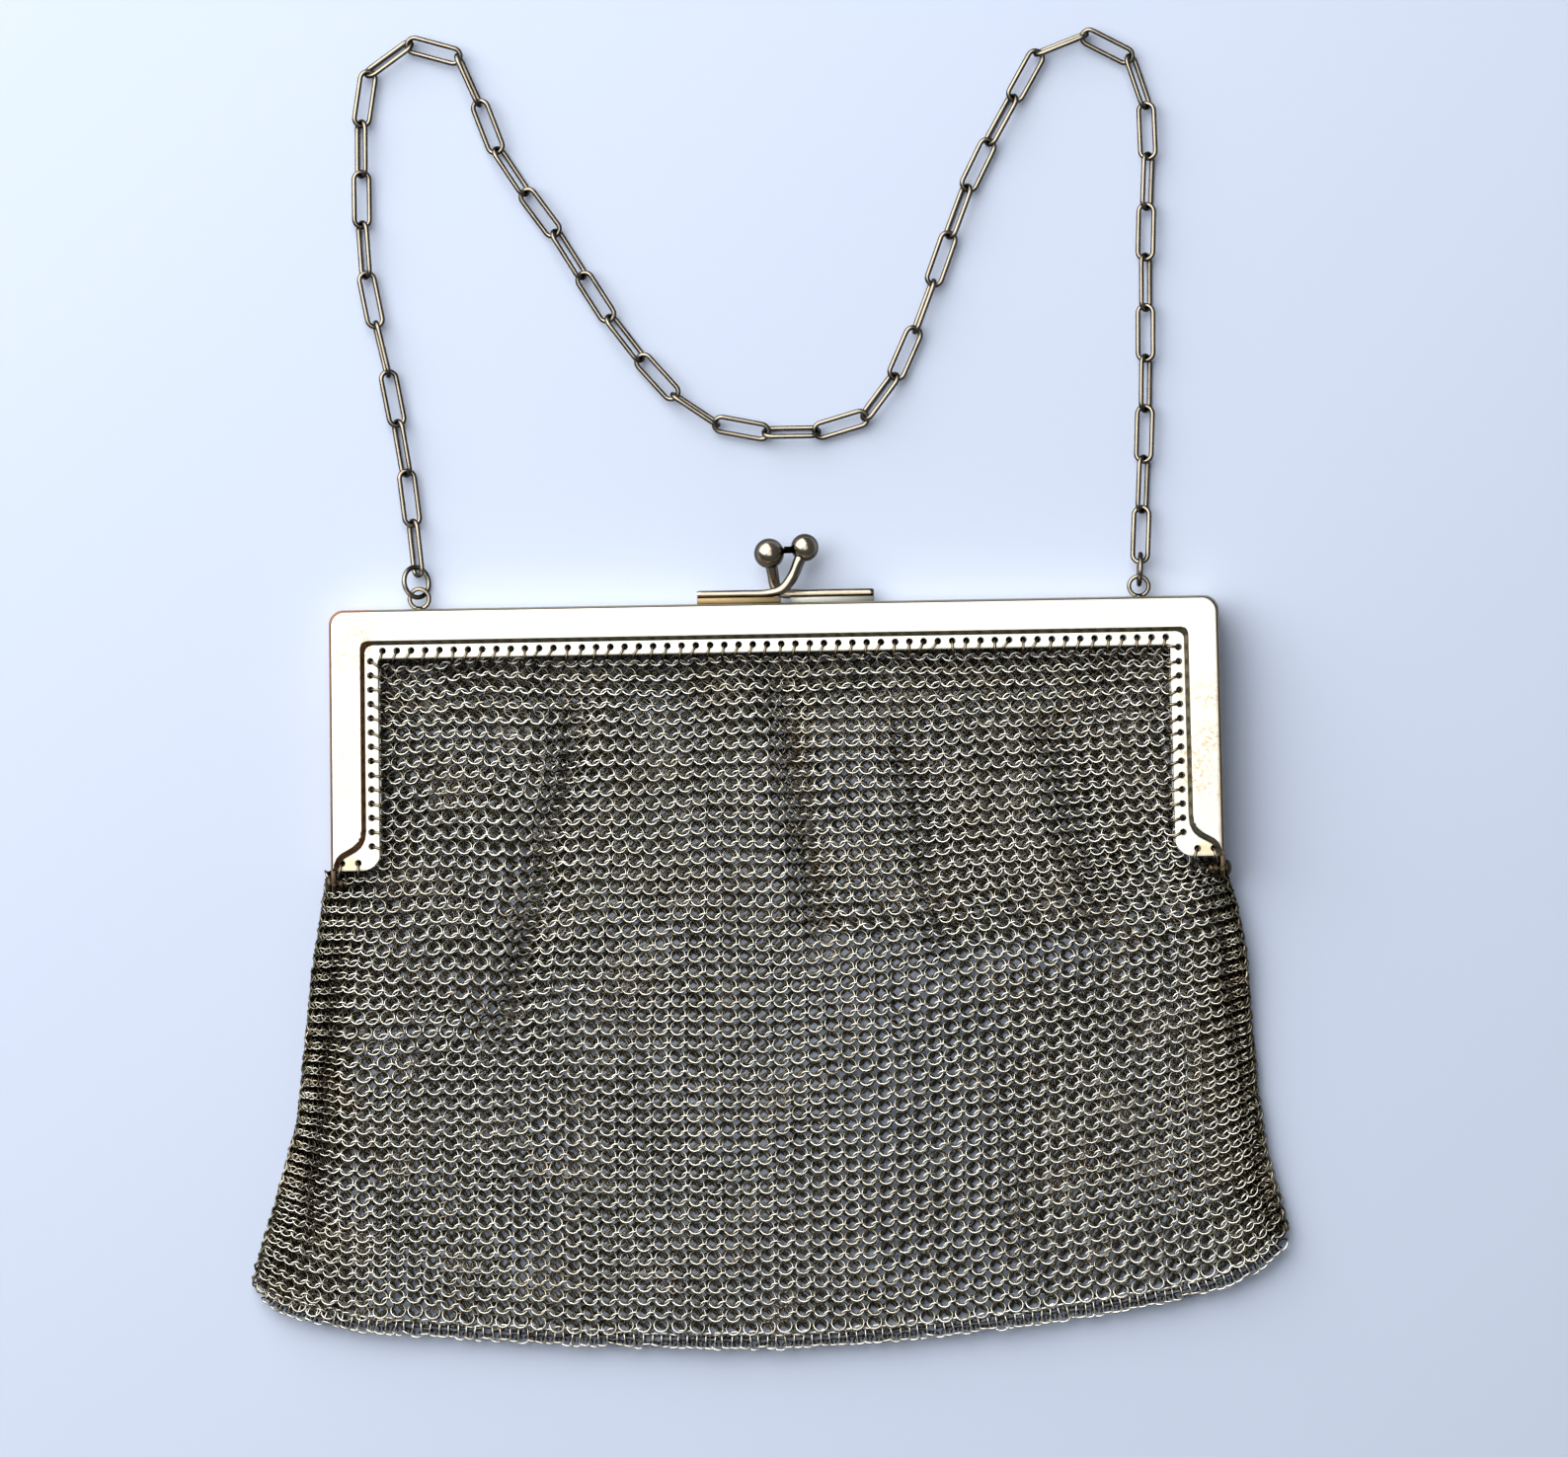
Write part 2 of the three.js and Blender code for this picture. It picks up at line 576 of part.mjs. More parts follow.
// Mesh bag. Each row is one level of the bag: how far down it is as a share of BAG_LENGTH, its reach to
// the left and right as shares of half of BAG_WIDTH, how much of the bottom edge's rise it has taken on,
// the height of its front skin as a share of CLOSED_DEPTH, and how far its side edges are closed.
const ARM_SHARE = (HALF_WIDTH - RIM_INSET - CLEARANCE) / (BAG_WIDTH / 2);
const FOOT_SHARE = (MOUTH_Y - FOOT_Y + CLEARANCE) / BAG_LENGTH;
const BAG_ROWS = [
  { down: 0, left: ARM_SHARE, right: ARM_SHARE, rise: 0, height: 0.86, closed: 0 },
  { down: FOOT_SHARE * 0.5, left: ARM_SHARE, right: ARM_SHARE, rise: 0, height: 0.8, closed: 0 },
  { down: FOOT_SHARE, left: ARM_SHARE, right: ARM_SHARE, rise: 0, height: 0.72, closed: 0 },
  { down: FOOT_SHARE + LEDGE_SHARE, left: 0.867, right: 0.85, rise: 0, height: 0.72, closed: 0.6 },
  { down: 0.38, left: 0.882, right: 0.88, rise: 0.02, height: 0.62, closed: 1 },
  { down: 0.45, left: 0.898, right: 0.895, rise: 0.08, height: 0.55, closed: 1 },
  { down: 0.57, left: 0.914, right: 0.900, rise: 0.22, height: 0.48, closed: 1 },
  { down: 0.69, left: 0.929, right: 0.907, rise: 0.40, height: 0.43, closed: 1 },
  { down: 0.81, left: 0.968, right: 0.924, rise: 0.62, height: 0.39, closed: 1 },
  { down: 0.92, left: 1.006, right: 0.952, rise: 0.84, height: 0.36, closed: 1 },
  { down: 0.985, left: 1.026, right: 0.971, rise: 0.97, height: 0.33, closed: 1 },
  { down: 1, left: 1.020, right: 0.966, rise: 1, height: 0.29, closed: 1 },
];
const RISE_LEFT = 6.0;
const RISE_RIGHT = 10.0;
const CORNER_LEFT = 4.4;
const CORNER_RIGHT = 6.5;
const RISE_POWER = 1.6;
const CORNER_POWER = 14;

// Folds of the front skin: place across the bag at the mouth and at the bottom, half width, height
const BAG_FOLDS = [
  { top: 0.10, bottom: 0.08, width: 0.04, height: 0.5 },
  { top: 0.19, bottom: 0.25, width: 0.035, height: -0.55 },
  { top: 0.33, bottom: 0.36, width: 0.05, height: 0.4 },
  { top: 0.50, bottom: 0.51, width: 0.04, height: -0.45 },
  { top: 0.64, bottom: 0.65, width: 0.05, height: 0.3 },
  { top: 0.80, bottom: 0.76, width: 0.04, height: -0.4 },
  { top: 0.92, bottom: 0.90, width: 0.04, height: 0.4 },
];

const FOLD_FADE = 6;

function bagRow(down) {
  const next = Math.max(1, BAG_ROWS.findIndex((row) => row.down >= down));
  const a = BAG_ROWS[next - 1];
  const b = BAG_ROWS[next];
  const share = THREE.MathUtils.clamp((down - a.down) / (b.down - a.down), 0, 1);
  const columns = ['left', 'right', 'rise', 'height', 'closed'];
  return Object.fromEntries(columns.map((key) => [key, a[key] + (b[key] - a[key]) * share]));
}

function bottomRise(across) {
  const q = 2 * across - 1;
  const rise = q < 0 ? RISE_LEFT : RISE_RIGHT;
  const corner = q < 0 ? CORNER_LEFT : CORNER_RIGHT;
  return rise * Math.abs(q) ** RISE_POWER + corner * Math.abs(q) ** CORNER_POWER;
}

function foldHeight(across, down) {
  const strength = Math.min(1, down * FOLD_FADE, (1 - down) * FOLD_FADE);
  const sum = BAG_FOLDS.reduce((total, fold) => {
    const centre = fold.top + (fold.bottom - fold.top) * down;
    return total + fold.height * Math.exp(-(((across - centre) / fold.width) ** 2));
  }, 0);
  return strength * sum;
}

// One ring of points round the bag at a level: along the front, then back along the underside.
// inset moves the ring inward by a wall; sideInset does the same at the two side edges.
function bagRing(down, frontShares, backShares, inset, sideInset) {
  const row = bagRow(down);
  const left = (-row.left * BAG_WIDTH) / 2 + sideInset;
  const right = (row.right * BAG_WIDTH) / 2 - sideInset;
  const top = row.height * CLOSED_DEPTH - inset;
  const bottom = inset;
  const closing = (top - bottom) / 2 - BAG_EDGE / 2;
  const point = (across, front) => {
    const atEdge = across === 0 || across === 1;
    const pinch = atEdge ? row.closed * Math.max(closing, 0) : 0;
    const fold = foldHeight(across, down);
    const z = front ? top + fold - pinch - (atEdge ? fold : 0) : bottom + pinch;
    const y = MOUTH_Y - down * BAG_LENGTH + row.rise * bottomRise(across);
    return new THREE.Vector3(left + (right - left) * across, y, z);
  };
  return [
    ...frontShares.map((across) => point(across, true)),
    ...backShares.slice().reverse().map((across) => point(across, false)),
  ];
}

function evenShares(count) {
  const edge = EDGE_SHARE;
  const shares = [0, edge];
  for (let index = 1; index < count; index += 1) {
    shares.push(edge + ((1 - 2 * edge) * index) / count);
  }
  return [...shares, 1 - edge, 1];
}

function meshBag() {
  const outerFront = evenShares(20);
  const outerBack = evenShares(2);
  const rings = BAG_ROWS.map((row) => bagRing(row.down, outerFront, outerBack, 0, 0));
  const outer = toSolid(loft(rings));
  const innerFront = evenShares(10);
  const innerBack = evenShares(1);
  const endShare = 1 - BAG_WALL / BAG_LENGTH;
  const innerRows = [...BAG_ROWS.slice(0, -2).map((row) => row.down), endShare];
  const innerRings = innerRows.map((down, index) => {
    const beside = down <= FOOT_SHARE ? -BAG_WALL : BAG_WALL;
    const ring = bagRing(down, innerFront, innerBack, BAG_WALL, beside);
    if (index === 0) ring.forEach((point) => { point.y += BAG_WALL; });
    return ring;
  });
  const inner = toSolid(loft(innerRings));
  const hinges = [-1, 1].map((side) => {
    const inside = INNER_LUG_FACE - SHEET - 2 * CLEARANCE - RIVET_TAIL_HEIGHT;
    const xs = [side * inside, side * BAG_WIDTH];
    const bottom = LUG_Y - LUG_RADIUS - CLEARANCE;
    return boxSolid([Math.min(...xs), bottom, -CLOSED_DEPTH], [Math.max(...xs), TOP_Y, 2 * CLOSED_DEPTH]);
  });
  return without(outer, [inner, ...hinges]);
}

// Materials
function metal(color, roughness) {
  return new THREE.MeshStandardMaterial({ color, roughness, metalness: 1 });
}

const MATERIALS = {
  frame: metal(0xe6dfc9, 0.3),
  clasp: metal(0xb9b0a0, 0.25),
  chain: metal(0xa39a8a, 0.35),
  mesh: metal(0xb5ad94, 0.45),
};

const purse = new THREE.Group();
purse.name = 'mesh_purse';

function addPiece(name, solid, material) {
  const piece = new THREE.Mesh(toGeometry(solid), material);
  piece.name = name;
  purse.add(piece);
  return piece;
}

addPiece('frame_front', frameFront(), MATERIALS.frame);
addPiece('frame_back', frameBack(), MATERIALS.frame);
addPiece('hinge_rivet_left', hingeRivet(-1), MATERIALS.clasp);
addPiece('hinge_rivet_right', hingeRivet(1), MATERIALS.clasp);

CLASP_ARMS.forEach((arm, index) => {
  const piece = addPiece(arm.name, claspArm(arm).translate([0, 0, -MID_HEIGHT]), MATERIALS.clasp);
  piece.position.set(CLASP_OFFSET, 0, MID_HEIGHT);
  piece.rotation.y = index * Math.PI;
});

addPiece('mesh_bag', meshBag(), MATERIALS.mesh);
addPiece('chain', chain(), MATERIALS.chain);
JUMP_RINGS.forEach((ring) => addPiece(ring.name, jumpRing(ring), MATERIALS.chain));

export default purse;
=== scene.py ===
# A metal mesh purse with a stamped kiss-lock frame and a link chain, lying flat on a plain pale surface.
# Lengths are in millimetres until they are written into a mesh, where MM turns them into metres.

import math

import bmesh
import bpy
import numpy as np
from mathutils import Matrix, Vector


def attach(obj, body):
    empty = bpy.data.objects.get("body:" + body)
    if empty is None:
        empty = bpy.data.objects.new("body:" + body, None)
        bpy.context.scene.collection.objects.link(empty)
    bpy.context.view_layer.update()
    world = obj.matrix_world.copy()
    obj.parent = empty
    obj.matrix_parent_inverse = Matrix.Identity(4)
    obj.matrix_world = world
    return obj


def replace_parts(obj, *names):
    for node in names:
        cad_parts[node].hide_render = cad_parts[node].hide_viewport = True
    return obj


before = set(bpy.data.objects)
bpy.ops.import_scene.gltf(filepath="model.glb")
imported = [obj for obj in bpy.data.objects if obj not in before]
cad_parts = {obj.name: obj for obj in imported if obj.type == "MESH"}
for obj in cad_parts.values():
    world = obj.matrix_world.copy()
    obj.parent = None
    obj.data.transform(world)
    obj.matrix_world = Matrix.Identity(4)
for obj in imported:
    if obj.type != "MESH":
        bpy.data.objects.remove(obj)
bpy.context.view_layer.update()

MM = 0.001
SEED = 41

# Frame, as in the solids
FRAME_WIDTH = 152.4
HALF_WIDTH = FRAME_WIDTH / 2
ARM_LENGTH = 44.65
ARM_SPLAY = 0.4
BAND_WIDTH = 5.3
STEP_WIDTH = 0.8
RIM_WIDTH = 2.4
RIM_DROP = 1.0
HALF_DEPTH = 4.6
SHEET = 0.8
CORNER_RADIUS = 2.5
INNER_CORNER_RADIUS = 0.7
RIM_FOOT_TAB = 3.1
CLEARANCE = 0.3
CLOSED_DEPTH = 2 * HALF_DEPTH + CLEARANCE
MID_HEIGHT = CLOSED_DEPTH / 2
TOP_Y = BAND_WIDTH / 2
FOOT_Y = TOP_Y - ARM_LENGTH
BAND_FOOT_Y = FOOT_Y + RIM_FOOT_TAB
STEP_INSET = BAND_WIDTH + STEP_WIDTH
RIM_INSET = STEP_INSET + RIM_WIDTH
RIM_TOP = HALF_DEPTH - RIM_DROP
RIM_UNDERSIDE = RIM_TOP - SHEET
FOOT_HALF_WIDTH = HALF_WIDTH + ARM_SPLAY

EDGE_ROUNDING = 0.55
RIM_FOOT_RADIUS = 3.2

# The pressed step's foot line on each arm, from the top down: inset from the outer edge, and y
BAND_FOOT = np.array([
    (6.1, 40.0), (6.1, -35.2), (5.95, -36.5), (5.4, -37.7), (4.3, -38.7), (3.2, -39.3), (2.3, -39.8),
    (1.7, -40.4), (1.35, -41.2), (1.15, -42.2), (1.15, -50.0),
])

# Sewing holes
HOLE_DIAMETER = 1.2
HOLE_PITCH = 2.44
HOLE_INSET = STEP_INSET + 0.95
HOLES_ACROSS = 56
HOLES_DOWN = 14
ARM_HOLES_TOP_Y = -6.15
FOOT_HOLES_X = (71.9, 74.7)
FOOT_HOLES_Y = -40.7
RIM_HOLE_SPARE = 1.0

# Hinges
LUG_RADIUS = 1.8
LUG_Y = FOOT_Y - 2.2
OUTER_LUG_FACE = FOOT_HALF_WIDTH
INNER_LUG_FACE = OUTER_LUG_FACE - SHEET - CLEARANCE
RIVET_DIAMETER = 1.4
RIVET_HEAD_DIAMETER = 2.9
RIVET_HEAD_HEIGHT = 1.0
RIVET_TAIL_HEIGHT = 0.6

# Eyes and jump rings
EYE_DIAMETER = 4.1
EYE_WIRE = 0.75
EYE_PLACES = (1.0 - 61.9, 1.0 + 61.9)
EYE_Y = TOP_Y + EYE_DIAMETER / 2 - 0.2
EYE_HEIGHT = HALF_DEPTH / 2
JUMP_RING_DIAMETER = 6.1
JUMP_RING_WIRE = 0.85
# Each ring's name, place along the frame, lean and swing in degrees
JUMP_RINGS = (("jump_ring_left", EYE_PLACES[0], -50, 10), ("jump_ring_right", EYE_PLACES[1], 0, -4))

# Clasp
BALL_DIAMETER = 5.0
ROD_DIAMETER = 1.35
ROD_REACH = 15.2
ROD_Y = TOP_Y + 1.62
SEAT_HEIGHT = CLOSED_DEPTH - HALF_DEPTH / 2
STRIP_LENGTH = 14.4
STRIP_WIDTH = 2.4
STRIP_YS = (TOP_Y + 0.03, TOP_Y + 1.0)
STRIP_RIVET_SPREAD = 4.0
CLASP_OFFSET = 2.1
# The rod's bend, as shares: across to the ball, up to the ball, and how far it still is from the middle
FRONT_BEND = [(-0.8, 0.01, 1), (-0.2, 0.08, 1), (0.32, 0.33, 0.79), (0.68, 0.68, 0.25), (1, 1, 0)]
BACK_BEND = [(-0.5, 0.0, 1), (0.25, 0.03, 0.97), (0.62, 0.18, 0.8), (0.78, 0.50, 0.4), (1, 1, 0)]

# Chain, as in the solids
CHAIN_ROUTE = [
    (-61.0, 8.9), (-62.8, 26.2), (-65.7, 43.5), (-69.2, 60.8), (-69.6, 79.0), (-69.3, 88.3),
    (-67.3, 96.4), (-59.8, 100.2), (-51.6, 96.7), (-48.9, 88.7), (-45.8, 80.7), (-35.9, 66.3),
    (-27.1, 51.9), (-15.5, 37.9), (-7.8, 33.2), (0.6, 32.0), (8.8, 32.2), (17.3, 35.1),
    (22.1, 42.3), (28.7, 58.1), (35.0, 74.5), (42.7, 88.7), (47.3, 96.6), (54.7, 99.6),
    (62.3, 96.3), (65.5, 88.2), (65.1, 62.5), (64.6, 35.9), (63.2, 9.0),
]
LINKS_ON_EDGE = (4, 12, 20, 26, 32)
LINK_LENGTH = 10.4
LINK_WIDTH = 3.5
LINK_WIRE = 0.85
LINK_PLAY = 0.06
LINK_ROLL_FLAT = 15.0
LINK_ROLL_TURNED = -56.0
LINK_ROLL_ON_EDGE = -78.0

# Mesh bag, as in the solids
BAG_LENGTH = 119.7
BAG_WIDTH = 178.6
MOUTH_Y = TOP_Y - RIM_INSET - CLEARANCE
ARM_SHARE = (HALF_WIDTH - RIM_INSET - CLEARANCE) / (BAG_WIDTH / 2)
FOOT_SHARE = (MOUTH_Y - FOOT_Y + CLEARANCE) / BAG_LENGTH
# down, left, right, rise, height of the front as a share of the closed depth
BAG_ROWS = np.array([
    (0.00, 0.867, 0.850, 0.00, 0.86),
    (FOOT_SHARE * 0.5, 0.867, 0.850, 0.00, 0.80),
    (FOOT_SHARE, 0.867, 0.850, 0.00, 0.72),
    (0.38, 0.882, 0.880, 0.02, 0.62),
    (0.45, 0.898, 0.895, 0.08, 0.55),
    (0.57, 0.914, 0.900, 0.22, 0.48),
    (0.69, 0.929, 0.907, 0.40, 0.43),
    (0.81, 0.968, 0.924, 0.62, 0.39),
    (0.92, 1.006, 0.952, 0.84, 0.37),
    (0.985, 1.026, 0.971, 0.97, 0.36),
    (1.00, 1.020, 0.966, 1.00, 0.35),
])
RISE_LEFT = 6.0
RISE_RIGHT = 10.0
CORNER_LEFT = 4.4
CORNER_RIGHT = 6.5
RISE_POWER = 1.6
CORNER_POWER = 14

# Ring mesh
RING_RADIUS = 1.27
RING_WIRE = 0.32
BACK_WIRE = 0.52
RIM_RING_WIRE = 0.5
# How much the painted shade at the bag's sides and in furrows darkens a ring
SHADE_DEPTH = 0.55
RING_TILT = math.radians(27)
ROW_PITCH = 1.225
LAYER_HALF = RING_RADIUS * math.sin(RING_TILT) + RING_WIRE / 2
SIDE_ROUNDING = 5.0
RIM_BLEND = 5.0
CROWDING = 0.16
BACK_STRETCH = 1.013
BACK_SHIFT = 0.62
BACK_SIDEWAYS = 0.3
EDGE_COLUMNS = 8
COLUMNS_LEFT = 32
COLUMNS_RIGHT = 31
FIRST_ROW_DROP = 0.3
BOTTOM_STRIP = 3.3
BOTTOM_GAP = 0.6
LOWEST_POINT = 0.02
RIM_RING_RADIUS = 1.3
RIM_UNDER_TOP = CLOSED_DEPTH - HALF_DEPTH + RIM_UNDERSIDE - LAYER_HALF - 0.25
# How far the mesh reaches under the rim, beside the arms and beside the feet, and where the feet begin
UNDER_ARM = 0.6
UNDER_FOOT = 2.2
FOOT_DOWN = 0.25

# Painted shade on the rings at the bag's sides and in its furrows: how far in from the sides, how much there
# and in furrows, and how deep a furrow is that has it
SHADE_REACH = 8.5
SIDE_SHADE = 0.9
FURROW_SHADE = 0.4
SHADED_FURROW = 1.0

# Random spread of the rings' tilt, turn and place
TILT_SPREAD = math.radians(3.5)
TURN_SPREAD = math.radians(3.0)
PLACE_SPREAD = 0.05

# Distance between columns of rings: down, pitch
COLUMN_PITCHES = np.array([(0.0, 2.5), (0.1, 2.62), (0.3, 2.75), (0.45, 2.9), (0.6, 3.0), (1.0, 3.05)])
# How far the rows rise at their ends: down, and the shares of the left rise, the right rise and the corners
ROW_LIFT = np.array([
    (0.00, 0.00, 0.00, 0.00), (0.30, 0.00, 0.45, 0.00), (0.42, 0.03, 0.85, 0.02), (0.57, 0.15, 0.92, 0.15),
    (0.69, 0.32, 0.95, 0.35), (0.81, 0.55, 0.97, 0.60), (0.92, 0.82, 1.00, 0.84), (0.985, 0.97, 1.00, 0.97),
    (1.00, 1.00, 1.00, 1.00),
])

# Folds of the front layer, each along a line: x and y where it starts, x and y where it ends, half width,
# height (below zero for a furrow)
FOLDS = [
    (1.0, -7.0, 8.0, -58.0, 2.6, -2.0),
    (-3.0, -9.0, 1.5, -50.0, 2.4, 0.6),
    (-31.5, -8.0, -49.0, -76.0, 2.6, -2.3),
    (-39.0, -8.0, -58.0, -80.0, 4.0, 0.6),
    (21.0, -14.0, 29.0, -62.0, 2.8, -1.3),
    (46.0, -14.0, 58.0, -60.0, 4.0, -1.2),
    (62.0, -10.0, 72.0, -56.0, 3.0, 0.5),
    (-75.2, -50.0, -81.0, -112.0, 2.0, -1.3),
    (75.5, -48.0, 85.0, -112.0, 1.7, -1.2),
    (-64.0, -44.0, -70.0, -112.0, 4.0, 0.5),
    (-17.0, -20.0, -12.0, -112.0, 5.0, 0.35),
    (42.0, -62.0, 44.0, -116.0, 5.0, -0.45),
    (12.0, -60.0, 10.0, -116.0, 4.5, -0.4),
]

# Colours, linear
FLOOR_COLOUR = (0.73, 0.80, 0.95, 1)
SKY_COLOUR = (0.80, 0.88, 1.0, 1)
SKY_STRENGTH = 0.12


# Camera, floor and lights

CAMERA_DISTANCE = 1400.0
VIEW_WIDTH = 268.4
VIEW_CENTRE = (1.43, -18.92)
PURSE_TURN = math.radians(1.02)
SENSOR_WIDTH = 36.0

# In metres, like the lights' places and sizes below
FAR_CLIP = 20.0
FLOOR_REACH = 3.0
FLOOR_HEIGHT = -0.00004

# Each light's name, place, aim, side, power in watts, colour, and whether it lights dull surfaces too
LIGHTS = [
    ("overhead", (0.0, 0.0, 1.7), (0.0, 0.0, 0.0), 1.0, 6.2, (1.0, 0.99, 0.96), False),
    ("key", (-0.54, 0.56, 0.66), (0.0, -0.02, 0.0), 1.5, 24.0, (0.97, 0.98, 1.0), True),
]


def make_camera():
    data = bpy.data.cameras.new("camera")
    data.sensor_width = SENSOR_WIDTH
    data.lens = SENSOR_WIDTH * (CAMERA_DISTANCE - CLOSED_DEPTH) / VIEW_WIDTH
    data.clip_end = FAR_CLIP
    camera = bpy.data.objects.new("camera", data)
    camera.location = (VIEW_CENTRE[0] * MM, VIEW_CENTRE[1] * MM, CAMERA_DISTANCE * MM)
    camera.rotation_euler = (0, 0, -PURSE_TURN)
    bpy.context.collection.objects.link(camera)
    bpy.context.scene.camera = camera


def make_light(name, place, aim, side, power, colour, lights_dull):
    data = bpy.data.lights.new(name, "AREA")
    data.shape = "SQUARE"
    data.size = side
    data.energy = power
    data.color = colour
    light = bpy.data.objects.new(name, data)
    light.location = place
    light.rotation_euler = (Vector(aim) - Vector(place)).to_track_quat("-Z", "Y").to_euler()
    light.visible_diffuse = lights_dull
    bpy.context.collection.objects.link(light)


def make_floor():
    mesh = bpy.data.meshes.new("floor")
    signs = ((-1, -1), (1, -1), (1, 1), (-1, 1))
    corners = [(x * FLOOR_REACH, y * FLOOR_REACH, FLOOR_HEIGHT) for x, y in signs]
    mesh.from_pydata(corners, [], [(0, 1, 2, 3)])
    floor = bpy.data.objects.new("floor", mesh)
    bpy.context.collection.objects.link(floor)
    material = bpy.data.materials.new("floor")
    material.use_nodes = True
    shader = material.node_tree.nodes["Principled BSDF"]
    shader.inputs["Base Color"].default_value = FLOOR_COLOUR
    shader.inputs["Roughness"].default_value = 0.9
    shader.inputs["Specular IOR Level"].default_value = 0.2
    mesh.materials.append(material)


def make_world():
    world = bpy.data.worlds.new("world")
    bpy.context.scene.world = world
    world.use_nodes = True
    background = world.node_tree.nodes["Background"]
    background.inputs["Color"].default_value = SKY_COLOUR
    background.inputs["Strength"].default_value = SKY_STRENGTH


make_camera()
make_world()
make_floor()
bpy.context.scene.view_settings.view_transform = "Standard"
for light_row in LIGHTS:
    make_light(*light_row)


# Materials

class Nodes:
    """Short names for building a material's nodes."""

    def __init__(self, name):
        self.material = bpy.data.materials.new(name)
        self.material.use_nodes = True
        self.tree = self.material.node_tree
        self.shader = self.tree.nodes["Principled BSDF"]

    def add(self, kind, **settings):
        node = self.tree.nodes.new(kind)
        for key, value in settings.items():
            setattr(node, key, value)
        return node

    def link(self, source, target):
        self.tree.links.new(source, target)

    def math(self, operation, *values, clamp=False):
        node = self.add("ShaderNodeMath", operation=operation, use_clamp=clamp)
        for socket, value in zip(node.inputs, values):
            if isinstance(value, (int, float)):
                socket.default_value = value
            else:
                self.link(value, socket)
        return node.outputs[0]

    def product(self, *factors):
        result = factors[0]
        for factor in factors[1:]:
            result = self.math("MULTIPLY", result, factor)
        return result

    def ramp(self, value, stops):
        """Colours along a value: stops holds places and colours."""
        node = self.add("ShaderNodeValToRGB")
        elements = node.color_ramp.elements
        while len(elements) < len(stops):
            elements.new(0.5)
        for element, (place, colour) in zip(elements, stops):
            element.position = place
            element.color = (*colour, 1)
        self.link(value, node.inputs[0])
        return node.outputs[0]

    def grey_ramp(self, value, low, high, at_low=0.0, at_high=1.0):
        return self.ramp(value, [(low, (at_low,) * 3), (high, (at_high,) * 3)])

    def mix(self, share, a, b):
        node = self.add("ShaderNodeMix", data_type="RGBA")
        for socket, value in ((node.inputs[0], share), (node.inputs[6], a), (node.inputs[7], b)):
            if isinstance(value, tuple):
                socket.default_value = (*value, 1)
            else:
                self.link(value, socket)
        return node.outputs[2]

    def noise(self, scale, detail, roughness):
        node = self.add("ShaderNodeTexNoise")
        node.inputs["Scale"].default_value = scale
        node.inputs["Detail"].default_value = detail
        node.inputs["Roughness"].default_value = roughness
        self.link(self.add("ShaderNodeTexCoord").outputs["Object"], node.inputs["Vector"])
        return node.outputs["Fac"]

    def geometry(self, kind):
        """The X, Y and Z of the surface's place or of its normal."""
        node = self.add("ShaderNodeSeparateXYZ")
        self.link(self.add("ShaderNodeNewGeometry").outputs[kind], node.inputs[0])
        return node.outputs

    def upness(self):
        """How squarely a surface faces up or down, from 0 to 1."""
        return self.math("ABSOLUTE", self.geometry("Normal")[2])

    def band(self, value, low, high, soft):
        """1 where value lies between low and high, fading over soft."""
        rise = self.math("MULTIPLY_ADD", value, 1 / soft, 0.5 - low / soft, clamp=True)
        fall = self.math("MULTIPLY_ADD", value, -1 / soft, 0.5 + high / soft, clamp=True)
        return self.math("MULTIPLY", rise, fall)

    def bump(self, height, strength, distance):
        node = self.add("ShaderNodeBump")
        node.inputs["Strength"].default_value = strength
        node.inputs["Distance"].default_value = distance
        self.link(height, node.inputs["Height"])
        self.link(node.outputs["Normal"], self.shader.inputs["Normal"])

    def metal(self, colour, roughness):
        self.link(colour, self.shader.inputs["Base Color"])
        self.link(roughness, self.shader.inputs["Roughness"])
        self.shader.inputs["Metallic"].default_value = 1.0
        return self.material


# Where wire has its painted shade, middle and painted highlight colours, from its sides up to its top, as if
# lit from above
PAINTED_LIGHT_STOPS = (0.12, 0.5, 0.86)
# The same painted shade and highlight in rust colours, for the rust patches
RUST_AND_SHADE_COLOURS = ((0.022, 0.010, 0.005), (0.13, 0.07, 0.035), (0.74, 0.66, 0.50))

# Wire and small parts: painted shade, middle and painted highlight colour, roughness, scale of the mottling,
# other settings
WIRE_METALS = {
    "rim_ring": (((0.02, 0.014, 0.008), (0.13, 0.095, 0.055), (0.36, 0.30, 0.19)), 0.25, 300.0,
                 {"stops": (0.50, 0.82, 0.99)}),
    "mesh_front": (((0.013, 0.010, 0.005), (0.175, 0.152, 0.09), (0.93, 0.89, 0.77)), 0.26, 140.0,
                   {"buried": True, "rusty": 0.6}),
    # The back layer's colours are much darker than the front's: painted shade, as it lies under the front
    # layer
    "mesh_back": (((0.009, 0.007, 0.003), (0.045, 0.037, 0.019), (0.19, 0.17, 0.11)), 0.40, 140.0,
                  {"rusty": 0.75}),
    "chain": (((0.006, 0.004, 0.002), (0.050, 0.037, 0.024), (0.38, 0.33, 0.25)), 0.18, 200.0,
              {"stops": (0.30, 0.68, 0.95)}),
    "clasp": (((0.012, 0.008, 0.004), (0.062, 0.044, 0.027), (0.46, 0.39, 0.29)), 0.12, 260.0, {}),
    "rivet": (((0.012, 0.008, 0.005), (0.036, 0.025, 0.015), (0.102, 0.075, 0.045)), 0.30, 400.0, {}),
    "strip": (((0.05, 0.03, 0.015), (0.17, 0.115, 0.055), (0.30, 0.22, 0.11)), 0.30, 1500.0, {}),
    "pale_strip": (((0.05, 0.045, 0.035), (0.20, 0.19, 0.16), (0.34, 0.34, 0.30)), 0.28, 1500.0, {}),
}

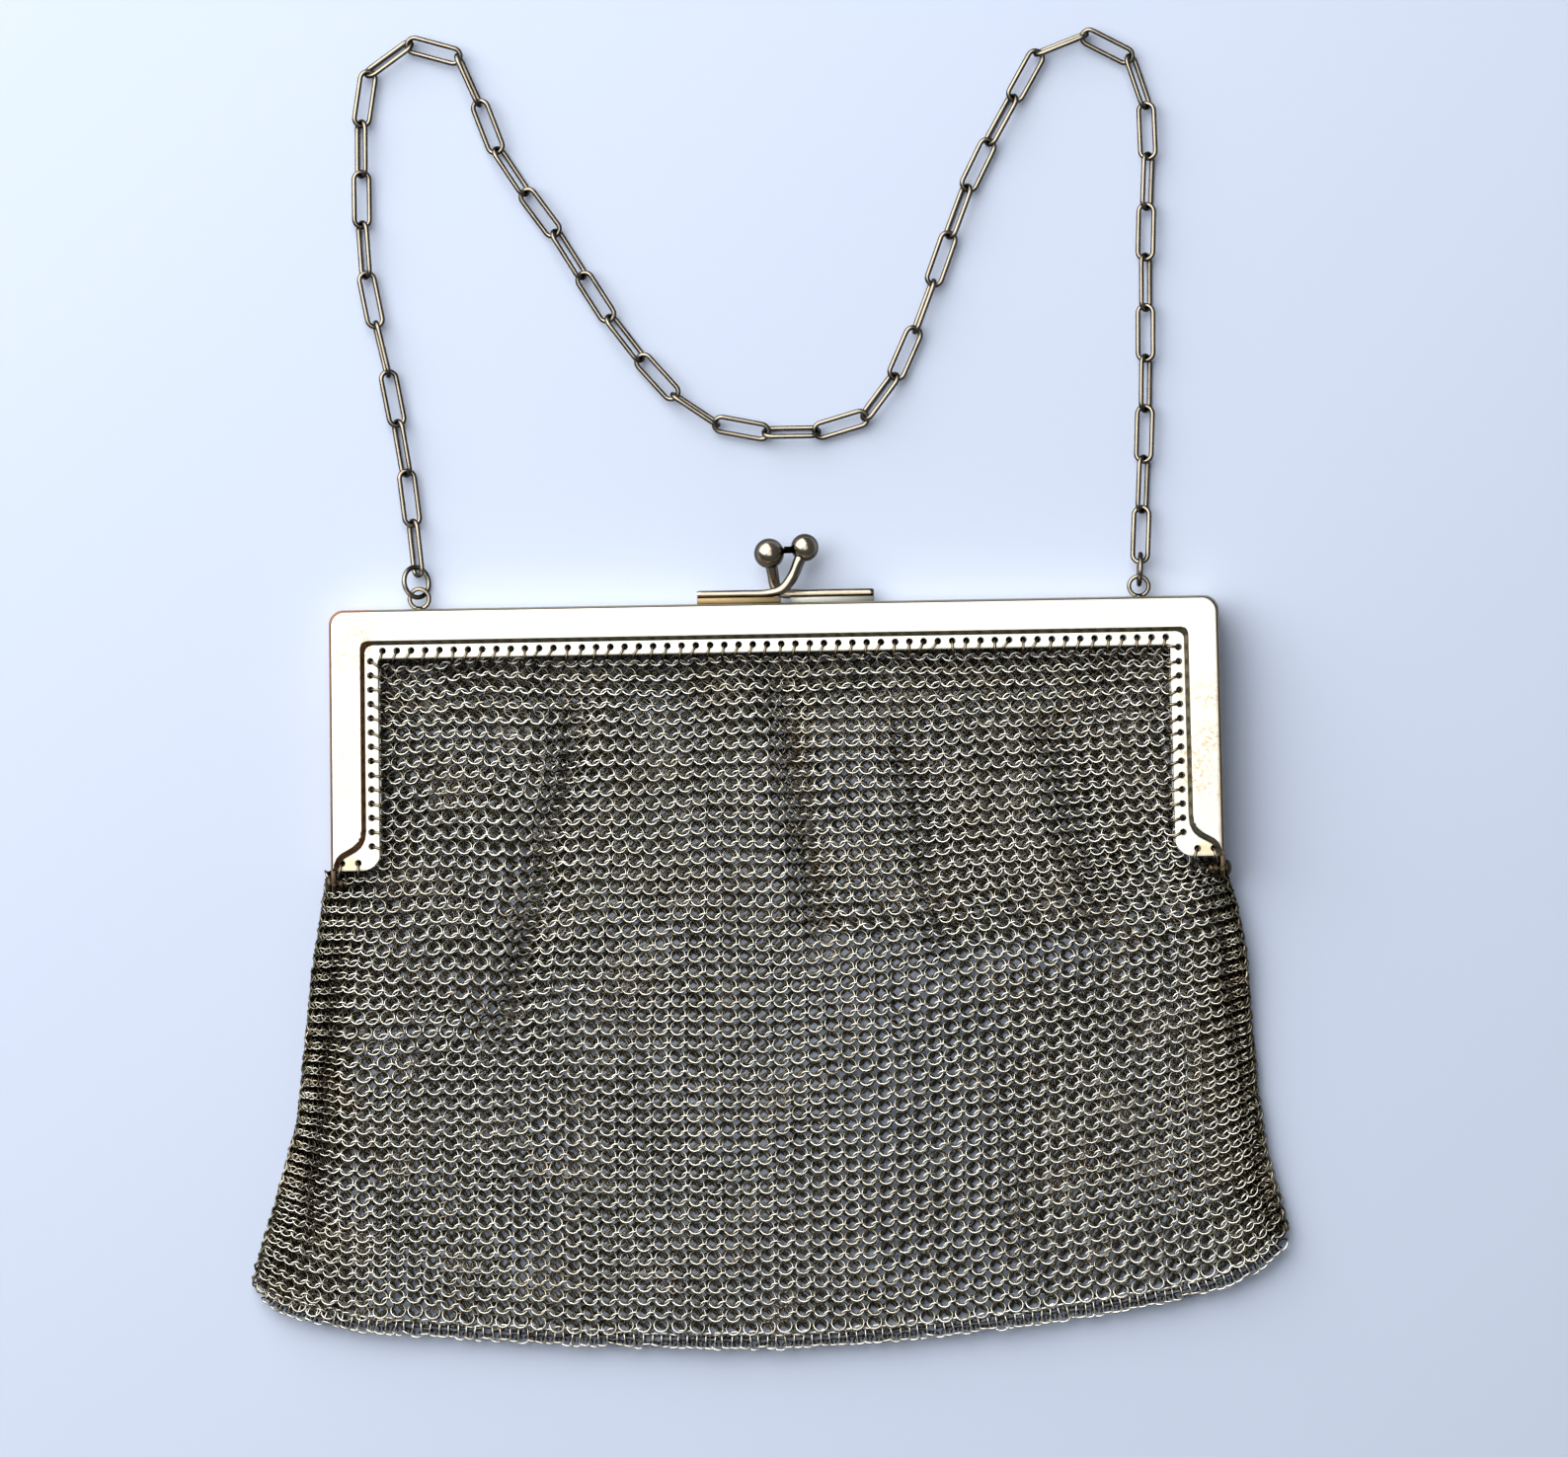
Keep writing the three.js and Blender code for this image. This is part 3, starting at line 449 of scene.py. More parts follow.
FRAME_COLOURS = {
    "face": (0.72, 0.70, 0.635),
    "dull face": (0.68, 0.64, 0.54),
    "stain": (0.50, 0.33, 0.12),
    # The step, left arm's step and crease colours are painted shade and dark reflection on the pressed step's
    # slope
    "step": (0.36, 0.32, 0.22),
    "left arm's step": (0.50, 0.23, 0.11),
    "crease": (0.06, 0.045, 0.028),
    "hinge": (0.075, 0.052, 0.032),
    # Painted dark reflection on the rounded outer edges
    "outer edge": (0.20, 0.145, 0.085),
    "beside the foot's holes": (0.62, 0.50, 0.28),
}

# Stains on the arms: whether on the left one, lowest and highest y, fade (all in metres), strength
STAINS = [
    (True, -0.0090, 0.0010, 0.004, 1.0),
    (True, -0.0330, -0.0140, 0.006, 0.45),
    (False, -0.0165, -0.0110, 0.003, 1.0),
    (False, -0.0325, -0.0195, 0.004, 1.0),
]


def wire_metal(name, colours, roughness, mottle_scale, buried=False, rusty=0.0, stops=PAINTED_LIGHT_STOPS):
    """Wire with painted light: bright where it faces up (a painted highlight), dark on its sides (painted
    shade), and tarnished in patches.

    Rings of the mesh are also painted darker where they lie deep in it: painted shade.
    """
    n = Nodes(name)
    mottle = n.noise(mottle_scale, 4.0, 0.6)
    # Painted light: the colour follows how squarely the wire faces up, with random mottling
    tone = n.math("ADD", n.upness(), n.math("MULTIPLY_ADD", mottle, 0.5, -0.25))
    if buried:
        # Painted shade: the lower a point lies in the mesh, the darker it is
        crest = n.add("ShaderNodeAttribute", attribute_name="crest").outputs["Fac"]
        tone = n.math("ADD", tone, n.math("MULTIPLY_ADD", crest, 0.9, -0.62))
    colour = n.ramp(tone, list(zip(stops, colours)))
    if rusty:
        patches = n.grey_ramp(n.noise(130.0, 3.0, 0.6), 0.52, 0.62, 0.0, rusty)
        colour = n.mix(patches, colour, n.ramp(tone, list(zip(PAINTED_LIGHT_STOPS, RUST_AND_SHADE_COLOURS))))
    return n.metal(colour, n.grey_ramp(mottle, 0.3, 0.75, roughness, roughness + 0.18))


def frame_metal():
    """Pale satin metal with stained arms, and painted shade on its pressed step and outer edges. Distances
    are in metres, as the shader reads them.
    """
    n = Nodes("frame_metal")
    colours = FRAME_COLOURS
    x, y, z = n.geometry("Position")
    side = n.math("ABSOLUTE", x)
    left = n.math("LESS_THAN", x, 0.0)
    right = n.math("GREATER_THAN", x, 0.0)
    on_arm = n.band(side, 0.0690, 0.0775, 0.001)
    grain = n.noise(900.0, 5.0, 0.65)
    clouds = n.noise(55.0, 3.0, 0.55)
    specks = n.grey_ramp(n.noise(1500.0, 4.0, 0.7), 0.50, 0.60)
    tone = 0.0
    for is_left, low, high, soft, strength in STAINS:
        patch = n.product(left if is_left else right, n.band(y, low, high, soft))
        tone = n.math("MULTIPLY_ADD", patch, strength, tone)
    patchy = n.math("MULTIPLY_ADD", n.grey_ramp(clouds, 0.42, 0.58), 0.6, 0.3)
    stain = n.math("MULTIPLY", n.product(tone, on_arm, specks), patchy, clamp=True)
    colour = n.mix(n.grey_ramp(clouds, 0.3, 0.8, 0.0, 0.5), colours["face"], colours["dull face"])
    colour = n.mix(stain, colour, colours["stain"])
    # The pressed step's steep slope is painted darker, browner on the left arm: painted shade and dark
    # reflection, darkest in its creases
    from_middle = n.math("ABSOLUTE", n.math("SUBTRACT", z, MID_HEIGHT * MM))
    on_step = n.band(from_middle, (MID_HEIGHT - RIM_DROP - 0.15) * MM, 1.0, 0.0002)
    steep = n.grey_ramp(n.upness(), 0.86, 0.99, 1.0, 0.0)
    step_shade = n.mix(n.product(left, on_arm), colours["step"], colours["left arm's step"])
    colour = n.mix(n.product(steep, on_step), colour, step_shade)
    creases = n.band(n.upness(), 0.80, 0.93, 0.06)
    colour = n.mix(n.product(creases, on_step), colour, colours["crease"])
    colour = n.mix(n.band(y, -1.0, (FOOT_Y + 0.1) * MM, 0.0006), colour, colours["hinge"])
    # Painted dark reflection along the rounded outer edges, in brown, widest on the right arm
    right_edge = n.product(right, n.band(side, 0.0757, 1.0, 0.0007))
    left_edge = n.product(left, n.band(side, 0.0762, 1.0, 0.0004))
    below_top = n.math("LESS_THAN", y, 0.0010)
    edges = n.product(n.math("MAXIMUM", right_edge, left_edge), below_top, 0.8)
    colour = n.mix(edges, colour, colours["outer edge"])
    beside_holes = n.product(n.band(side, 0.0719, 0.0747, 0.0012), n.band(y, -0.0419, -0.0398, 0.0012), 0.75)
    colour = n.mix(beside_holes, colour, colours["beside the foot's holes"])
    n.bump(grain, 0.12, 0.00005)
    return n.metal(colour, n.grey_ramp(grain, 0.3, 0.7, 0.26, 0.38))


MATERIALS = {"frame": frame_metal()}
for metal_name, (metal_colours, metal_roughness, metal_scale, metal_settings) in WIRE_METALS.items():
    MATERIALS[metal_name] = wire_metal(
        metal_name + "_metal", metal_colours, metal_roughness, metal_scale, **metal_settings)


# Mesh helpers

def add_object(name, mesh, slot, *materials):
    for material in materials:
        mesh.materials.append(material)
    piece = bpy.data.objects.new(name, mesh)
    bpy.context.collection.objects.link(piece)
    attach(piece, "root")
    return piece


def paint_rest(mesh, first_faces):
    """Gives the second material to every face after the first ones."""
    for polygon in mesh.polygons:
        polygon.material_index = 0 if polygon.index < first_faces else 1


def at_place(place, angle=0.0, axis="Z"):
    return Matrix.Translation(Vector(place)) @ Matrix.Rotation(angle, 4, axis)


def grid_faces(rows, columns, closed):
    """Quads of a grid of points that closes round its columns and, if closed is set, round its rows too."""
    faces = []
    for row in range(rows if closed else rows - 1):
        here = row * columns
        after = (row + 1) % rows * columns
        for column in range(columns):
            beside = (column + 1) % columns
            faces.append((here + column, after + column, after + beside, here + beside))
    return faces


def quads_mesh(name, points, quads):
    """A smooth mesh from an array of points in millimetres and an array of quads."""
    mesh = bpy.data.meshes.new(name)
    points = np.asarray(points, dtype=np.float32) * MM
    quads = np.asarray(quads, dtype=np.int32)
    mesh.vertices.add(len(points))
    mesh.vertices.foreach_set("co", points.ravel())
    mesh.loops.add(quads.size)
    mesh.loops.foreach_set("vertex_index", quads.ravel())
    mesh.polygons.add(len(quads))
    mesh.polygons.foreach_set("loop_start", np.arange(len(quads), dtype=np.int32) * 4)
    mesh.update(calc_edges=True)
    mesh.validate()
    mesh.shade_smooth()
    return mesh


def mesh_from(name, parts, sharp=None):
    """One smooth mesh from (points, faces) shells in millimetres. Bends of over sharp degrees stay crisp."""
    points = []
    faces = []
    for part_points, part_faces in parts:
        offset = len(points)
        points.extend(tuple(float(v) * MM for v in p) for p in part_points)
        faces.extend(tuple(int(i) + offset for i in face) for face in part_faces)
    mesh = bpy.data.meshes.new(name)
    mesh.from_pydata(points, [], faces)
    mesh.validate()
    mesh.shade_smooth()
    if sharp is not None:
        mesh.set_sharp_from_angle(angle=math.radians(sharp))
    return mesh


def tube(path, radii, sides, closed=False):
    """A round wire along a path, with one radius or its own radius at each point."""
    path = np.asarray(path, dtype=float)
    count = len(path)
    radii = np.broadcast_to(np.asarray(radii, dtype=float), (count,))
    if closed:
        tangents = np.roll(path, -1, axis=0) - np.roll(path, 1, axis=0)
    else:
        tangents = np.gradient(path, axis=0)
    tangents /= np.linalg.norm(tangents, axis=1)[:, None]
    helper = np.array([0.0, 0.0, 1.0])
    if abs(tangents[0] @ helper) > 0.9:
        helper = np.array([0.0, 1.0, 0.0])
    normal = np.cross(helper, tangents[0])
    normal /= np.linalg.norm(normal)
    normals = [normal]
    for index in range(1, count):
        normal = normals[-1] - tangents[index] * (normals[-1] @ tangents[index])
        normals.append(normal / np.linalg.norm(normal))
    normals = np.array(normals)
    sides_dir = np.cross(tangents, normals)
    if closed:
        end = normals[-1] - tangents[0] * (normals[-1] @ tangents[0])
        twist = math.atan2(end @ sides_dir[0], end @ normals[0])
        angle = -twist * np.arange(count) / count
        turned = normals * np.cos(angle)[:, None] + sides_dir * np.sin(angle)[:, None]
        sides_dir = np.cross(tangents, turned)
        normals = turned
    angles = 2 * math.pi * np.arange(sides) / sides
    across = normals[:, None, :] * np.cos(angles)[None, :, None]
    across = across + sides_dir[:, None, :] * np.sin(angles)[None, :, None]
    points = (path[:, None, :] + across * radii[:, None, None]).reshape(-1, 3)
    faces = [(a, d, c, b) for a, b, c, d in grid_faces(count, sides, closed)]
    if not closed:
        faces.append(tuple(range(sides))[::-1])
        faces.append(tuple((count - 1) * sides + side for side in range(sides)))
    return points, faces


def run_length(steps):
    """How far along a line each of its points is, from the lengths of the steps between them."""
    return np.concatenate([[0], np.cumsum(steps)])


def circle(centre, radius, u, v, count):
    angles = np.arange(count) * 2 * math.pi / count
    return np.asarray(centre) + radius * (np.outer(np.cos(angles), u) + np.outer(np.sin(angles), v))


def lathe(profile, sides, matrix):
    """A turned shape about its own Z axis; the profile runs from one end of the axis to the other."""
    points = []
    faces = []
    rings = []
    for radius, height in profile:
        if radius < 1e-6:
            rings.append([len(points)])
            points.append(matrix @ Vector((0, 0, height)))
            continue
        ring = []
        for side in range(sides):
            angle = 2 * math.pi * side / sides
            ring.append(len(points))
            points.append(matrix @ Vector((radius * math.cos(angle), radius * math.sin(angle), height)))
        rings.append(ring)
    for low, high in zip(rings, rings[1:]):
        for side in range(sides):
            beside = (side + 1) % sides
            if len(low) == 1:
                faces.append((low[0], high[beside], high[side]))
            elif len(high) == 1:
                faces.append((low[side], low[beside], high[0]))
            else:
                faces.append((low[side], low[beside], high[beside], high[side]))
    return points, faces


def ball(centre, radius, sides, rows):
    angles = [math.pi * row / rows for row in range(rows + 1)]
    profile = [(radius * math.sin(angle), -radius * math.cos(angle)) for angle in angles]
    return lathe(profile, sides, at_place(centre))


def bevelled_box(low, high, bevel):
    built = bmesh.new()
    bmesh.ops.create_cube(built, size=1.0)
    size = [b - a for a, b in zip(low, high)]
    middle = [(a + b) / 2 for a, b in zip(low, high)]
    bmesh.ops.scale(built, vec=size, verts=built.verts)
    bmesh.ops.translate(built, vec=middle, verts=built.verts)
    bmesh.ops.bevel(built, geom=built.edges[:], offset=bevel, segments=2, affect="EDGES", profile=0.5)
    points = [tuple(v.co) for v in built.verts]
    faces = [tuple(v.index for v in face.verts) for face in built.faces]
    built.free()
    return points, faces


# Frame halves

def face_share(inset, y, shift):
    """How far up from the rim to the face the sheet is. shift moves it inward for the sheet's inside."""
    across, up = BAND_FOOT[:, 0] - shift, BAND_FOOT[:, 1] + shift
    start = np.stack([across[:-1], up[:-1]], axis=1)
    span = np.stack([across[1:], up[1:]], axis=1) - start
    to_point = np.array([inset, y]) - start
    along = np.clip(np.sum(to_point * span, axis=1) / np.sum(span * span, axis=1), 0, 1)
    distance = np.min(np.linalg.norm(to_point - along[:, None] * span, axis=1))
    if inset > np.interp(y, up[::-1], across[::-1]):
        return 0.0
    u = min(distance / STEP_WIDTH, 1.0)
    step = 0.5 * u + 0.5 * u * u * (3 - 2 * u)
    v = min(max((inset - shift) / EDGE_ROUNDING, 0.0), 1.0)
    return min(step, math.sqrt(1 - (1 - v) ** 2))


# The sheet's section: up the wall, in over the face, the step and the rim, and round the rim's edge
WALL_HEIGHTS = (0.0, 1.2, 2.4, 3.2)
TOP_INSETS = (
    0.0, 0.02, 0.07, 0.15, 0.27, 0.4, 0.55, 0.7, 0.85, 1.0, 1.2, 1.45, 1.7, 1.95, 2.2, 2.5, 2.8, 3.1, 3.4,
    3.7, 4.0, 4.3, 4.6, 4.9, 5.2, 5.32, 5.45, 5.6, 5.75, 5.88, 5.98, 6.06, 6.1, 6.3, 6.8, 7.4, 8.0, 8.3,
)
RIM_EDGE = ((8.42, -0.04), (8.5, -0.15))

# Stations along the frame's path: close together in the foot, a few along the arm, and round the corner
FOOT_ZONE_TOP_Y = -34.8
FOOT_STEPS = 38
ARM_YS = (-33.0, -25.0, -17.0, -11.0)
CORNER_STEPS = 10


def splay_at(y):
    return ARM_SPLAY * (TOP_Y - y) / ARM_LENGTH


def frame_station(side, y_of, corner_angle=None):
    """One station of the frame's path: a function from the inset to the place in the plan."""
    def place(inset):
        if corner_angle is None:
            x = HALF_WIDTH - inset
            y = y_of(inset)
        else:
            share = min(inset / RIM_INSET, 1.0)
            radius = CORNER_RADIUS + (INNER_CORNER_RADIUS - CORNER_RADIUS) * share
            x = HALF_WIDTH - inset - radius + radius * math.cos(corner_angle)
            y = TOP_Y - inset - radius + radius * math.sin(corner_angle)
        return side * (x + splay_at(y)), y
    return place


def foot_end(inset):
    start = RIM_INSET - RIM_FOOT_RADIUS
    if inset <= start:
        return FOOT_Y
    across = min(inset - start, RIM_FOOT_RADIUS)
    return FOOT_Y + RIM_FOOT_RADIUS - math.sqrt(RIM_FOOT_RADIUS ** 2 - across ** 2)


def frame_stations():
    """From the left foot up, across and down to the right foot."""
    arm = []
    for step in range(FOOT_STEPS + 1):
        share = step / FOOT_STEPS
        arm.append(lambda inset, share=share: foot_end(inset) + share * (FOOT_ZONE_TOP_Y - foot_end(inset)))
    for y in ARM_YS:
        arm.append(lambda inset, y=y: y)
    angles = [math.pi / 2 * step / CORNER_STEPS for step in range(CORNER_STEPS + 1)]
    left = [frame_station(-1, y_of) for y_of in arm] + [frame_station(-1, None, angle) for angle in angles]
    right = [frame_station(1, y_of) for y_of in arm] + [frame_station(1, None, angle) for angle in angles]
    return left + right[::-1]


def stamped_half():
    """One half with its meeting plane at height 0 and its face at HALF_DEPTH, as one closed skin."""
    wall_share = RIM_UNDERSIDE / (RIM_TOP + 0.2)
    inside_share = (RIM_INSET - SHEET - 0.1) / RIM_INSET
    inside_shift = SHEET * 0.6
    rows = []
    for place in frame_stations():
        outer = [(*place(0.0), height) for height in WALL_HEIGHTS]
        inner = [(*place(SHEET), height * wall_share) for height in WALL_HEIGHTS]
        for inset in TOP_INSETS:
            x, y = place(inset)
            outer.append((x, y, RIM_TOP + RIM_DROP * face_share(inset, y, 0.0)))
            inside = SHEET + inset * inside_share
            x, y = place(inside)
            inner.append((x, y, RIM_UNDERSIDE + RIM_DROP * face_share(inside, y, inside_shift)))
        for inset, drop in RIM_EDGE:
            outer.append((*place(inset), RIM_TOP + drop))
            inner.append((*place(inset), RIM_UNDERSIDE - drop))
        rows.append(outer + inner[::-1])
    count = len(rows[0])
    faces = grid_faces(len(rows), count, False)
    for start, flip in ((0, False), ((len(rows) - 1) * count, True)):
        for column in range(count // 2 - 1):
            other = count - 1 - column
            face = tuple(start + place for place in (column, column + 1, other - 1, other))
            faces.append(face[::-1] if flip else face)
    return [point for row in rows for point in row], faces


def hole_places():
    reach = HOLE_PITCH * (HOLES_ACROSS - 1) / 2
    places = [(-reach + HOLE_PITCH * index, TOP_Y - HOLE_INSET) for index in range(HOLES_ACROSS)]
    for side in (-1, 1):
        for row in range(HOLES_DOWN):
            y = ARM_HOLES_TOP_Y - row * HOLE_PITCH
            places.append((side * (HALF_WIDTH - HOLE_INSET + splay_at(y)), y))
        places += [(side * x, FOOT_HOLES_Y) for x in FOOT_HOLES_X]
    return places


def drilled(points, faces, drills):
    """The shell with round drills taken out of it, as (points, faces) again."""
    base_mesh = mesh_from("drilled", [(points, faces)])
    drill_mesh = mesh_from("drills", drills)
    base = bpy.data.objects.new("drilled", base_mesh)
    cutter = bpy.data.objects.new("drills", drill_mesh)
    for piece in (base, cutter):
        bpy.context.collection.objects.link(piece)
    modifier = base.modifiers.new("drill", "BOOLEAN")
    modifier.operation = "DIFFERENCE"
    modifier.solver = "EXACT"
    modifier.object = cutter
    bpy.context.view_layer.update()
    result = base.evaluated_get(bpy.context.evaluated_depsgraph_get()).to_mesh()
    new_points = [tuple(c / MM for c in v.co) for v in result.vertices]
    new_faces = [tuple(face.vertices) for face in result.polygons]
    for piece, mesh in ((base, base_mesh), (cutter, drill_mesh)):
        bpy.data.objects.remove(piece)
        bpy.data.meshes.remove(mesh)
    return new_points, new_faces


def rim_drill(x, y):
    low = RIM_UNDERSIDE - RIM_HOLE_SPARE
    high = RIM_TOP + RIM_HOLE_SPARE
    radius = HOLE_DIAMETER / 2
    return lathe([(0, low), (radius, low), (radius, high), (0, high)], 14, at_place((x, y, 0)))


def lug_parts(side, lug_face):
    """A rounded lug and its neck, with the meeting plane at height 0. The inner one also has a foot."""
    turn = at_place((side * (lug_face - SHEET / 2), LUG_Y, -CLEARANCE / 2), math.pi / 2, "Y")
    half = SHEET / 2
    soft = 0.12
    disc = [(0, -half), (LUG_RADIUS - soft, -half), (LUG_RADIUS, -half + soft), (LUG_RADIUS, half - soft),
            (LUG_RADIUS - soft, half), (0, half)]
    low_x = min(side * (lug_face - SHEET), side * lug_face)
    root = FOOT_Y + RIM_FOOT_TAB / 2
    parts = [lathe(disc, 28, turn),
             bevelled_box((low_x, LUG_Y, CLEARANCE), (low_x + SHEET, root, RIM_UNDERSIDE), 0.1)]
    if lug_face < OUTER_LUG_FACE:
        low_x, high_x = sorted((side * (lug_face - SHEET), side * (FOOT_HALF_WIDTH - SHEET / 2)))
        top = RIM_UNDERSIDE + SHEET / 2
        parts.append(bevelled_box((low_x, FOOT_Y, CLEARANCE), (high_x, FOOT_Y + SHEET, top), 0.1))
    return parts


def turned_over(points):
    return [(-x, y, HALF_DEPTH - z) for x, y, z in points]


def raised(points):
    return [(x, y, z + CLOSED_DEPTH - HALF_DEPTH) for x, y, z in points]


def eye_parts(x):
    """A chain eye and the blob of solder that holds it to the frame's top."""
    ring = circle((x, EYE_Y, EYE_HEIGHT), (EYE_DIAMETER - EYE_WIRE) / 2, (1, 0, 0), (0, 1, 0), 36)
    pad = [(0, 0), (1.0, 0), (0.92, 0.28), (0.6, 0.55), (0, 0.62)]
    pad_place = at_place((x, TOP_Y - 0.12, EYE_HEIGHT), -math.pi / 2, "X")
    return [tube(ring, EYE_WIRE / 2, 12, closed=True), lathe(pad, 20, pad_place)]


def build_frame():
    points, faces = stamped_half()
    half = drilled(points, faces, [rim_drill(x, y) for x, y in hole_places()])
    front = [half] + lug_parts(-1, OUTER_LUG_FACE) + lug_parts(1, OUTER_LUG_FACE)
    front_mesh = mesh_from("frame_front_metal", [(raised(points), faces) for points, faces in front], 32)
    front_piece = add_object("frame_front_stamped", front_mesh, "frame_metal", MATERIALS["frame"])
    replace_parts(front_piece, "frame_front")
    back = [half] + lug_parts(-1, INNER_LUG_FACE) + lug_parts(1, INNER_LUG_FACE)
    back = [(turned_over(points), faces) for points, faces in back]
    eyes = [part for x in EYE_PLACES for part in eye_parts(x)]
    back_mesh = mesh_from("frame_back_metal", back + eyes, 32)
    back_metals = (MATERIALS["frame"], MATERIALS["chain"])
    back_piece = add_object("frame_back_stamped", back_mesh, "frame_metal", *back_metals)
    paint_rest(back_mesh, sum(len(faces) for _, faces in back))
    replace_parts(back_piece, "frame_back")


def rivet_profile():
    """From the hidden tail inside the frame out to the domed head."""
    outer = OUTER_LUG_FACE + CLEARANCE
    inner = INNER_LUG_FACE - SHEET - CLEARANCE
    shank = RIVET_DIAMETER / 2
    head = RIVET_HEAD_DIAMETER / 2
    brim = 0.08
    dome_steps = 8
    profile = [(0, inner - RIVET_TAIL_HEIGHT), (head * 0.7, inner - RIVET_TAIL_HEIGHT),
               (head * 0.85, inner - RIVET_TAIL_HEIGHT * 0.7), (head * 0.9, inner), (shank, inner),
               (shank, outer), (head * 0.97, outer), (head, outer + brim)]
    for step in range(1, dome_steps):
        angle = math.pi / 2 * step / dome_steps
        profile.append((head * math.cos(angle), outer + brim + (RIVET_HEAD_HEIGHT - brim) * math.sin(angle)))
    return profile + [(0, outer + RIVET_HEAD_HEIGHT)]


def build_rivets():
    for side, name in ((-1, "hinge_rivet_left"), (1, "hinge_rivet_right")):
        turn = at_place((0, LUG_Y, MID_HEIGHT), side * math.pi / 2, "Y")
        mesh = mesh_from(name + "_round", [lathe(rivet_profile(), 28, turn)], 40)
        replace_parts(add_object(name + "_domed", mesh, "clasp_metal", MATERIALS["rivet"]), name)


# Clasp

def smooth_path(points, count):
    """A centripetal Catmull-Rom curve through the points, the same as the chain's route in the solids."""
    points = [np.asarray(p, dtype=float) for p in points]
    spans = len(points) - 1
    samples = []
    for index in range(count + 1):
        place = index / count * spans
        span = min(int(place), spans - 1)
        weight = place - span
        p1 = points[span]
        p2 = points[span + 1]
        p0 = points[span - 1] if span > 0 else 2 * p1 - points[1]
        p3 = points[span + 2] if span + 2 <= spans else 2 * p2 - points[spans - 1]
        d0 = max(np.sum((p1 - p0) ** 2) ** 0.25, 1e-4)
        d1 = max(np.sum((p2 - p1) ** 2) ** 0.25, 1e-4)
        d2 = max(np.sum((p3 - p2) ** 2) ** 0.25, 1e-4)
        t1 = ((p1 - p0) / d0 - (p2 - p0) / (d0 + d1) + (p2 - p1) / d1) * d1
        t2 = ((p2 - p1) / d1 - (p3 - p1) / (d1 + d2) + (p3 - p2) / d2) * d1
        a = 2 * p1 - 2 * p2 + t1 + t2
        b = -3 * p1 + 3 * p2 - 2 * t1 - t2
        samples.append(((a * weight + b) * weight + t1) * weight + p1)
    return np.array(samples)


def even_path(points, count):
    """The same curve sampled at even lengths."""
    dense = smooth_path(points, 400 * (len(points) - 1))
    length = run_length(np.linalg.norm(np.diff(dense, axis=0), axis=1))
    wanted = np.linspace(0, length[-1], count + 1)
    return np.stack([np.interp(wanted, length, dense[:, axis]) for axis in range(3)], axis=1), length[-1]


# Each arm's name, its ball's reach, spread and diameter, its bend, whether it has a nub, whether it is turned
# over, and its strip's metal
CLASP_ARMS = (
    ("clasp_arm_front", 12.1, 3.45, 4.8, FRONT_BEND, True, False, "strip"),
    ("clasp_arm_back", 11.2, 2.7, 5.2, BACK_BEND, False, True, "pale_strip"),
)

# Shares of the rod's length, and how much thicker its radius is there
ROD_SWELLING = ((0.50, 0.72, 1.0), (0.0, 0.28, 0.4))


def nub(centre):
    """The small ridged peg between the balls."""
    ridge_steps = 12
    profile = [(0, 1.6)]
    for step in range(ridge_steps + 1):
        height = BALL_DIAMETER / 2 - 0.3 + 1.35 * step / ridge_steps
        profile.append((0.62 + 0.09 * math.cos(step * math.pi), height))
    profile += [(0.45, BALL_DIAMETER / 2 + 1.12), (0, BALL_DIAMETER / 2 + 1.16)]
    return lathe(profile, 20, at_place(centre, -math.pi / 2, "Y"))


def clasp_rod(reach, spread, ball_diameter, bend, with_nub):
    """The bent rod, its ball and its nub, about the clasp's own middle and drawn for the front half."""
    above = SEAT_HEIGHT - MID_HEIGHT
    route = [(-ROD_REACH, ROD_Y, SEAT_HEIGHT), (-ROD_REACH / 2, ROD_Y, SEAT_HEIGHT)]
    route += [(a * spread, ROD_Y + c * (reach - ROD_Y), MID_HEIGHT + h * above) for a, c, h in bend]
    path, _ = even_path(route, 60)
    radii = np.interp(np.linspace(0, 1, len(path)), *ROD_SWELLING) + ROD_DIAMETER / 2
    radii[0] *= 0.8
    shells = [tube(path, radii, 16), ball((spread, reach, MID_HEIGHT), ball_diameter / 2, 40, 26)]
    if with_nub:
        shells.append(nub((spread, reach - 0.35, MID_HEIGHT)))
    return shells


def clasp_strip():
    """The flat strip under the rod and the two rivets that hold it to the frame."""
    shells = [bevelled_box((-ROD_REACH, STRIP_YS[0], SEAT_HEIGHT - STRIP_WIDTH / 2),
                           (-ROD_REACH + STRIP_LENGTH, STRIP_YS[1], SEAT_HEIGHT + STRIP_WIDTH / 2), 0.12)]
    middle = -ROD_REACH + STRIP_LENGTH / 2
    profile = [(0, -0.5), (0.7, -0.5), (1.0, -0.2), (1.0, 0.0), (0.5, 0.0), (0.5, 1.8), (0, 1.8)]
    for x in (middle - STRIP_RIVET_SPREAD, middle + STRIP_RIVET_SPREAD):
        foot = (x, TOP_Y - SHEET - CLEARANCE, SEAT_HEIGHT)
        shells.append(lathe(profile, 16, at_place(foot, -math.pi / 2, "X")))
    return shells


def clasp_placed(shell, turned):
    points, faces = shell
    if turned:
        return [(CLASP_OFFSET - x, y, CLOSED_DEPTH - z) for x, y, z in points], faces
    return [(CLASP_OFFSET + x, y, z) for x, y, z in points], faces


def build_clasp():
    for name, *rod_shape, turned, strip in CLASP_ARMS:
        rods = [clasp_placed(shell, turned) for shell in clasp_rod(*rod_shape)]
        strips = [clasp_placed(shell, turned) for shell in clasp_strip()]
        mesh = mesh_from(name + "_bent", rods + strips, 50)
        piece = add_object(name + "_polished", mesh, "clasp_metal", MATERIALS["clasp"], MATERIALS[strip])
        paint_rest(mesh, sum(len(faces) for _, faces in rods))
        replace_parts(piece, name)


# Chain

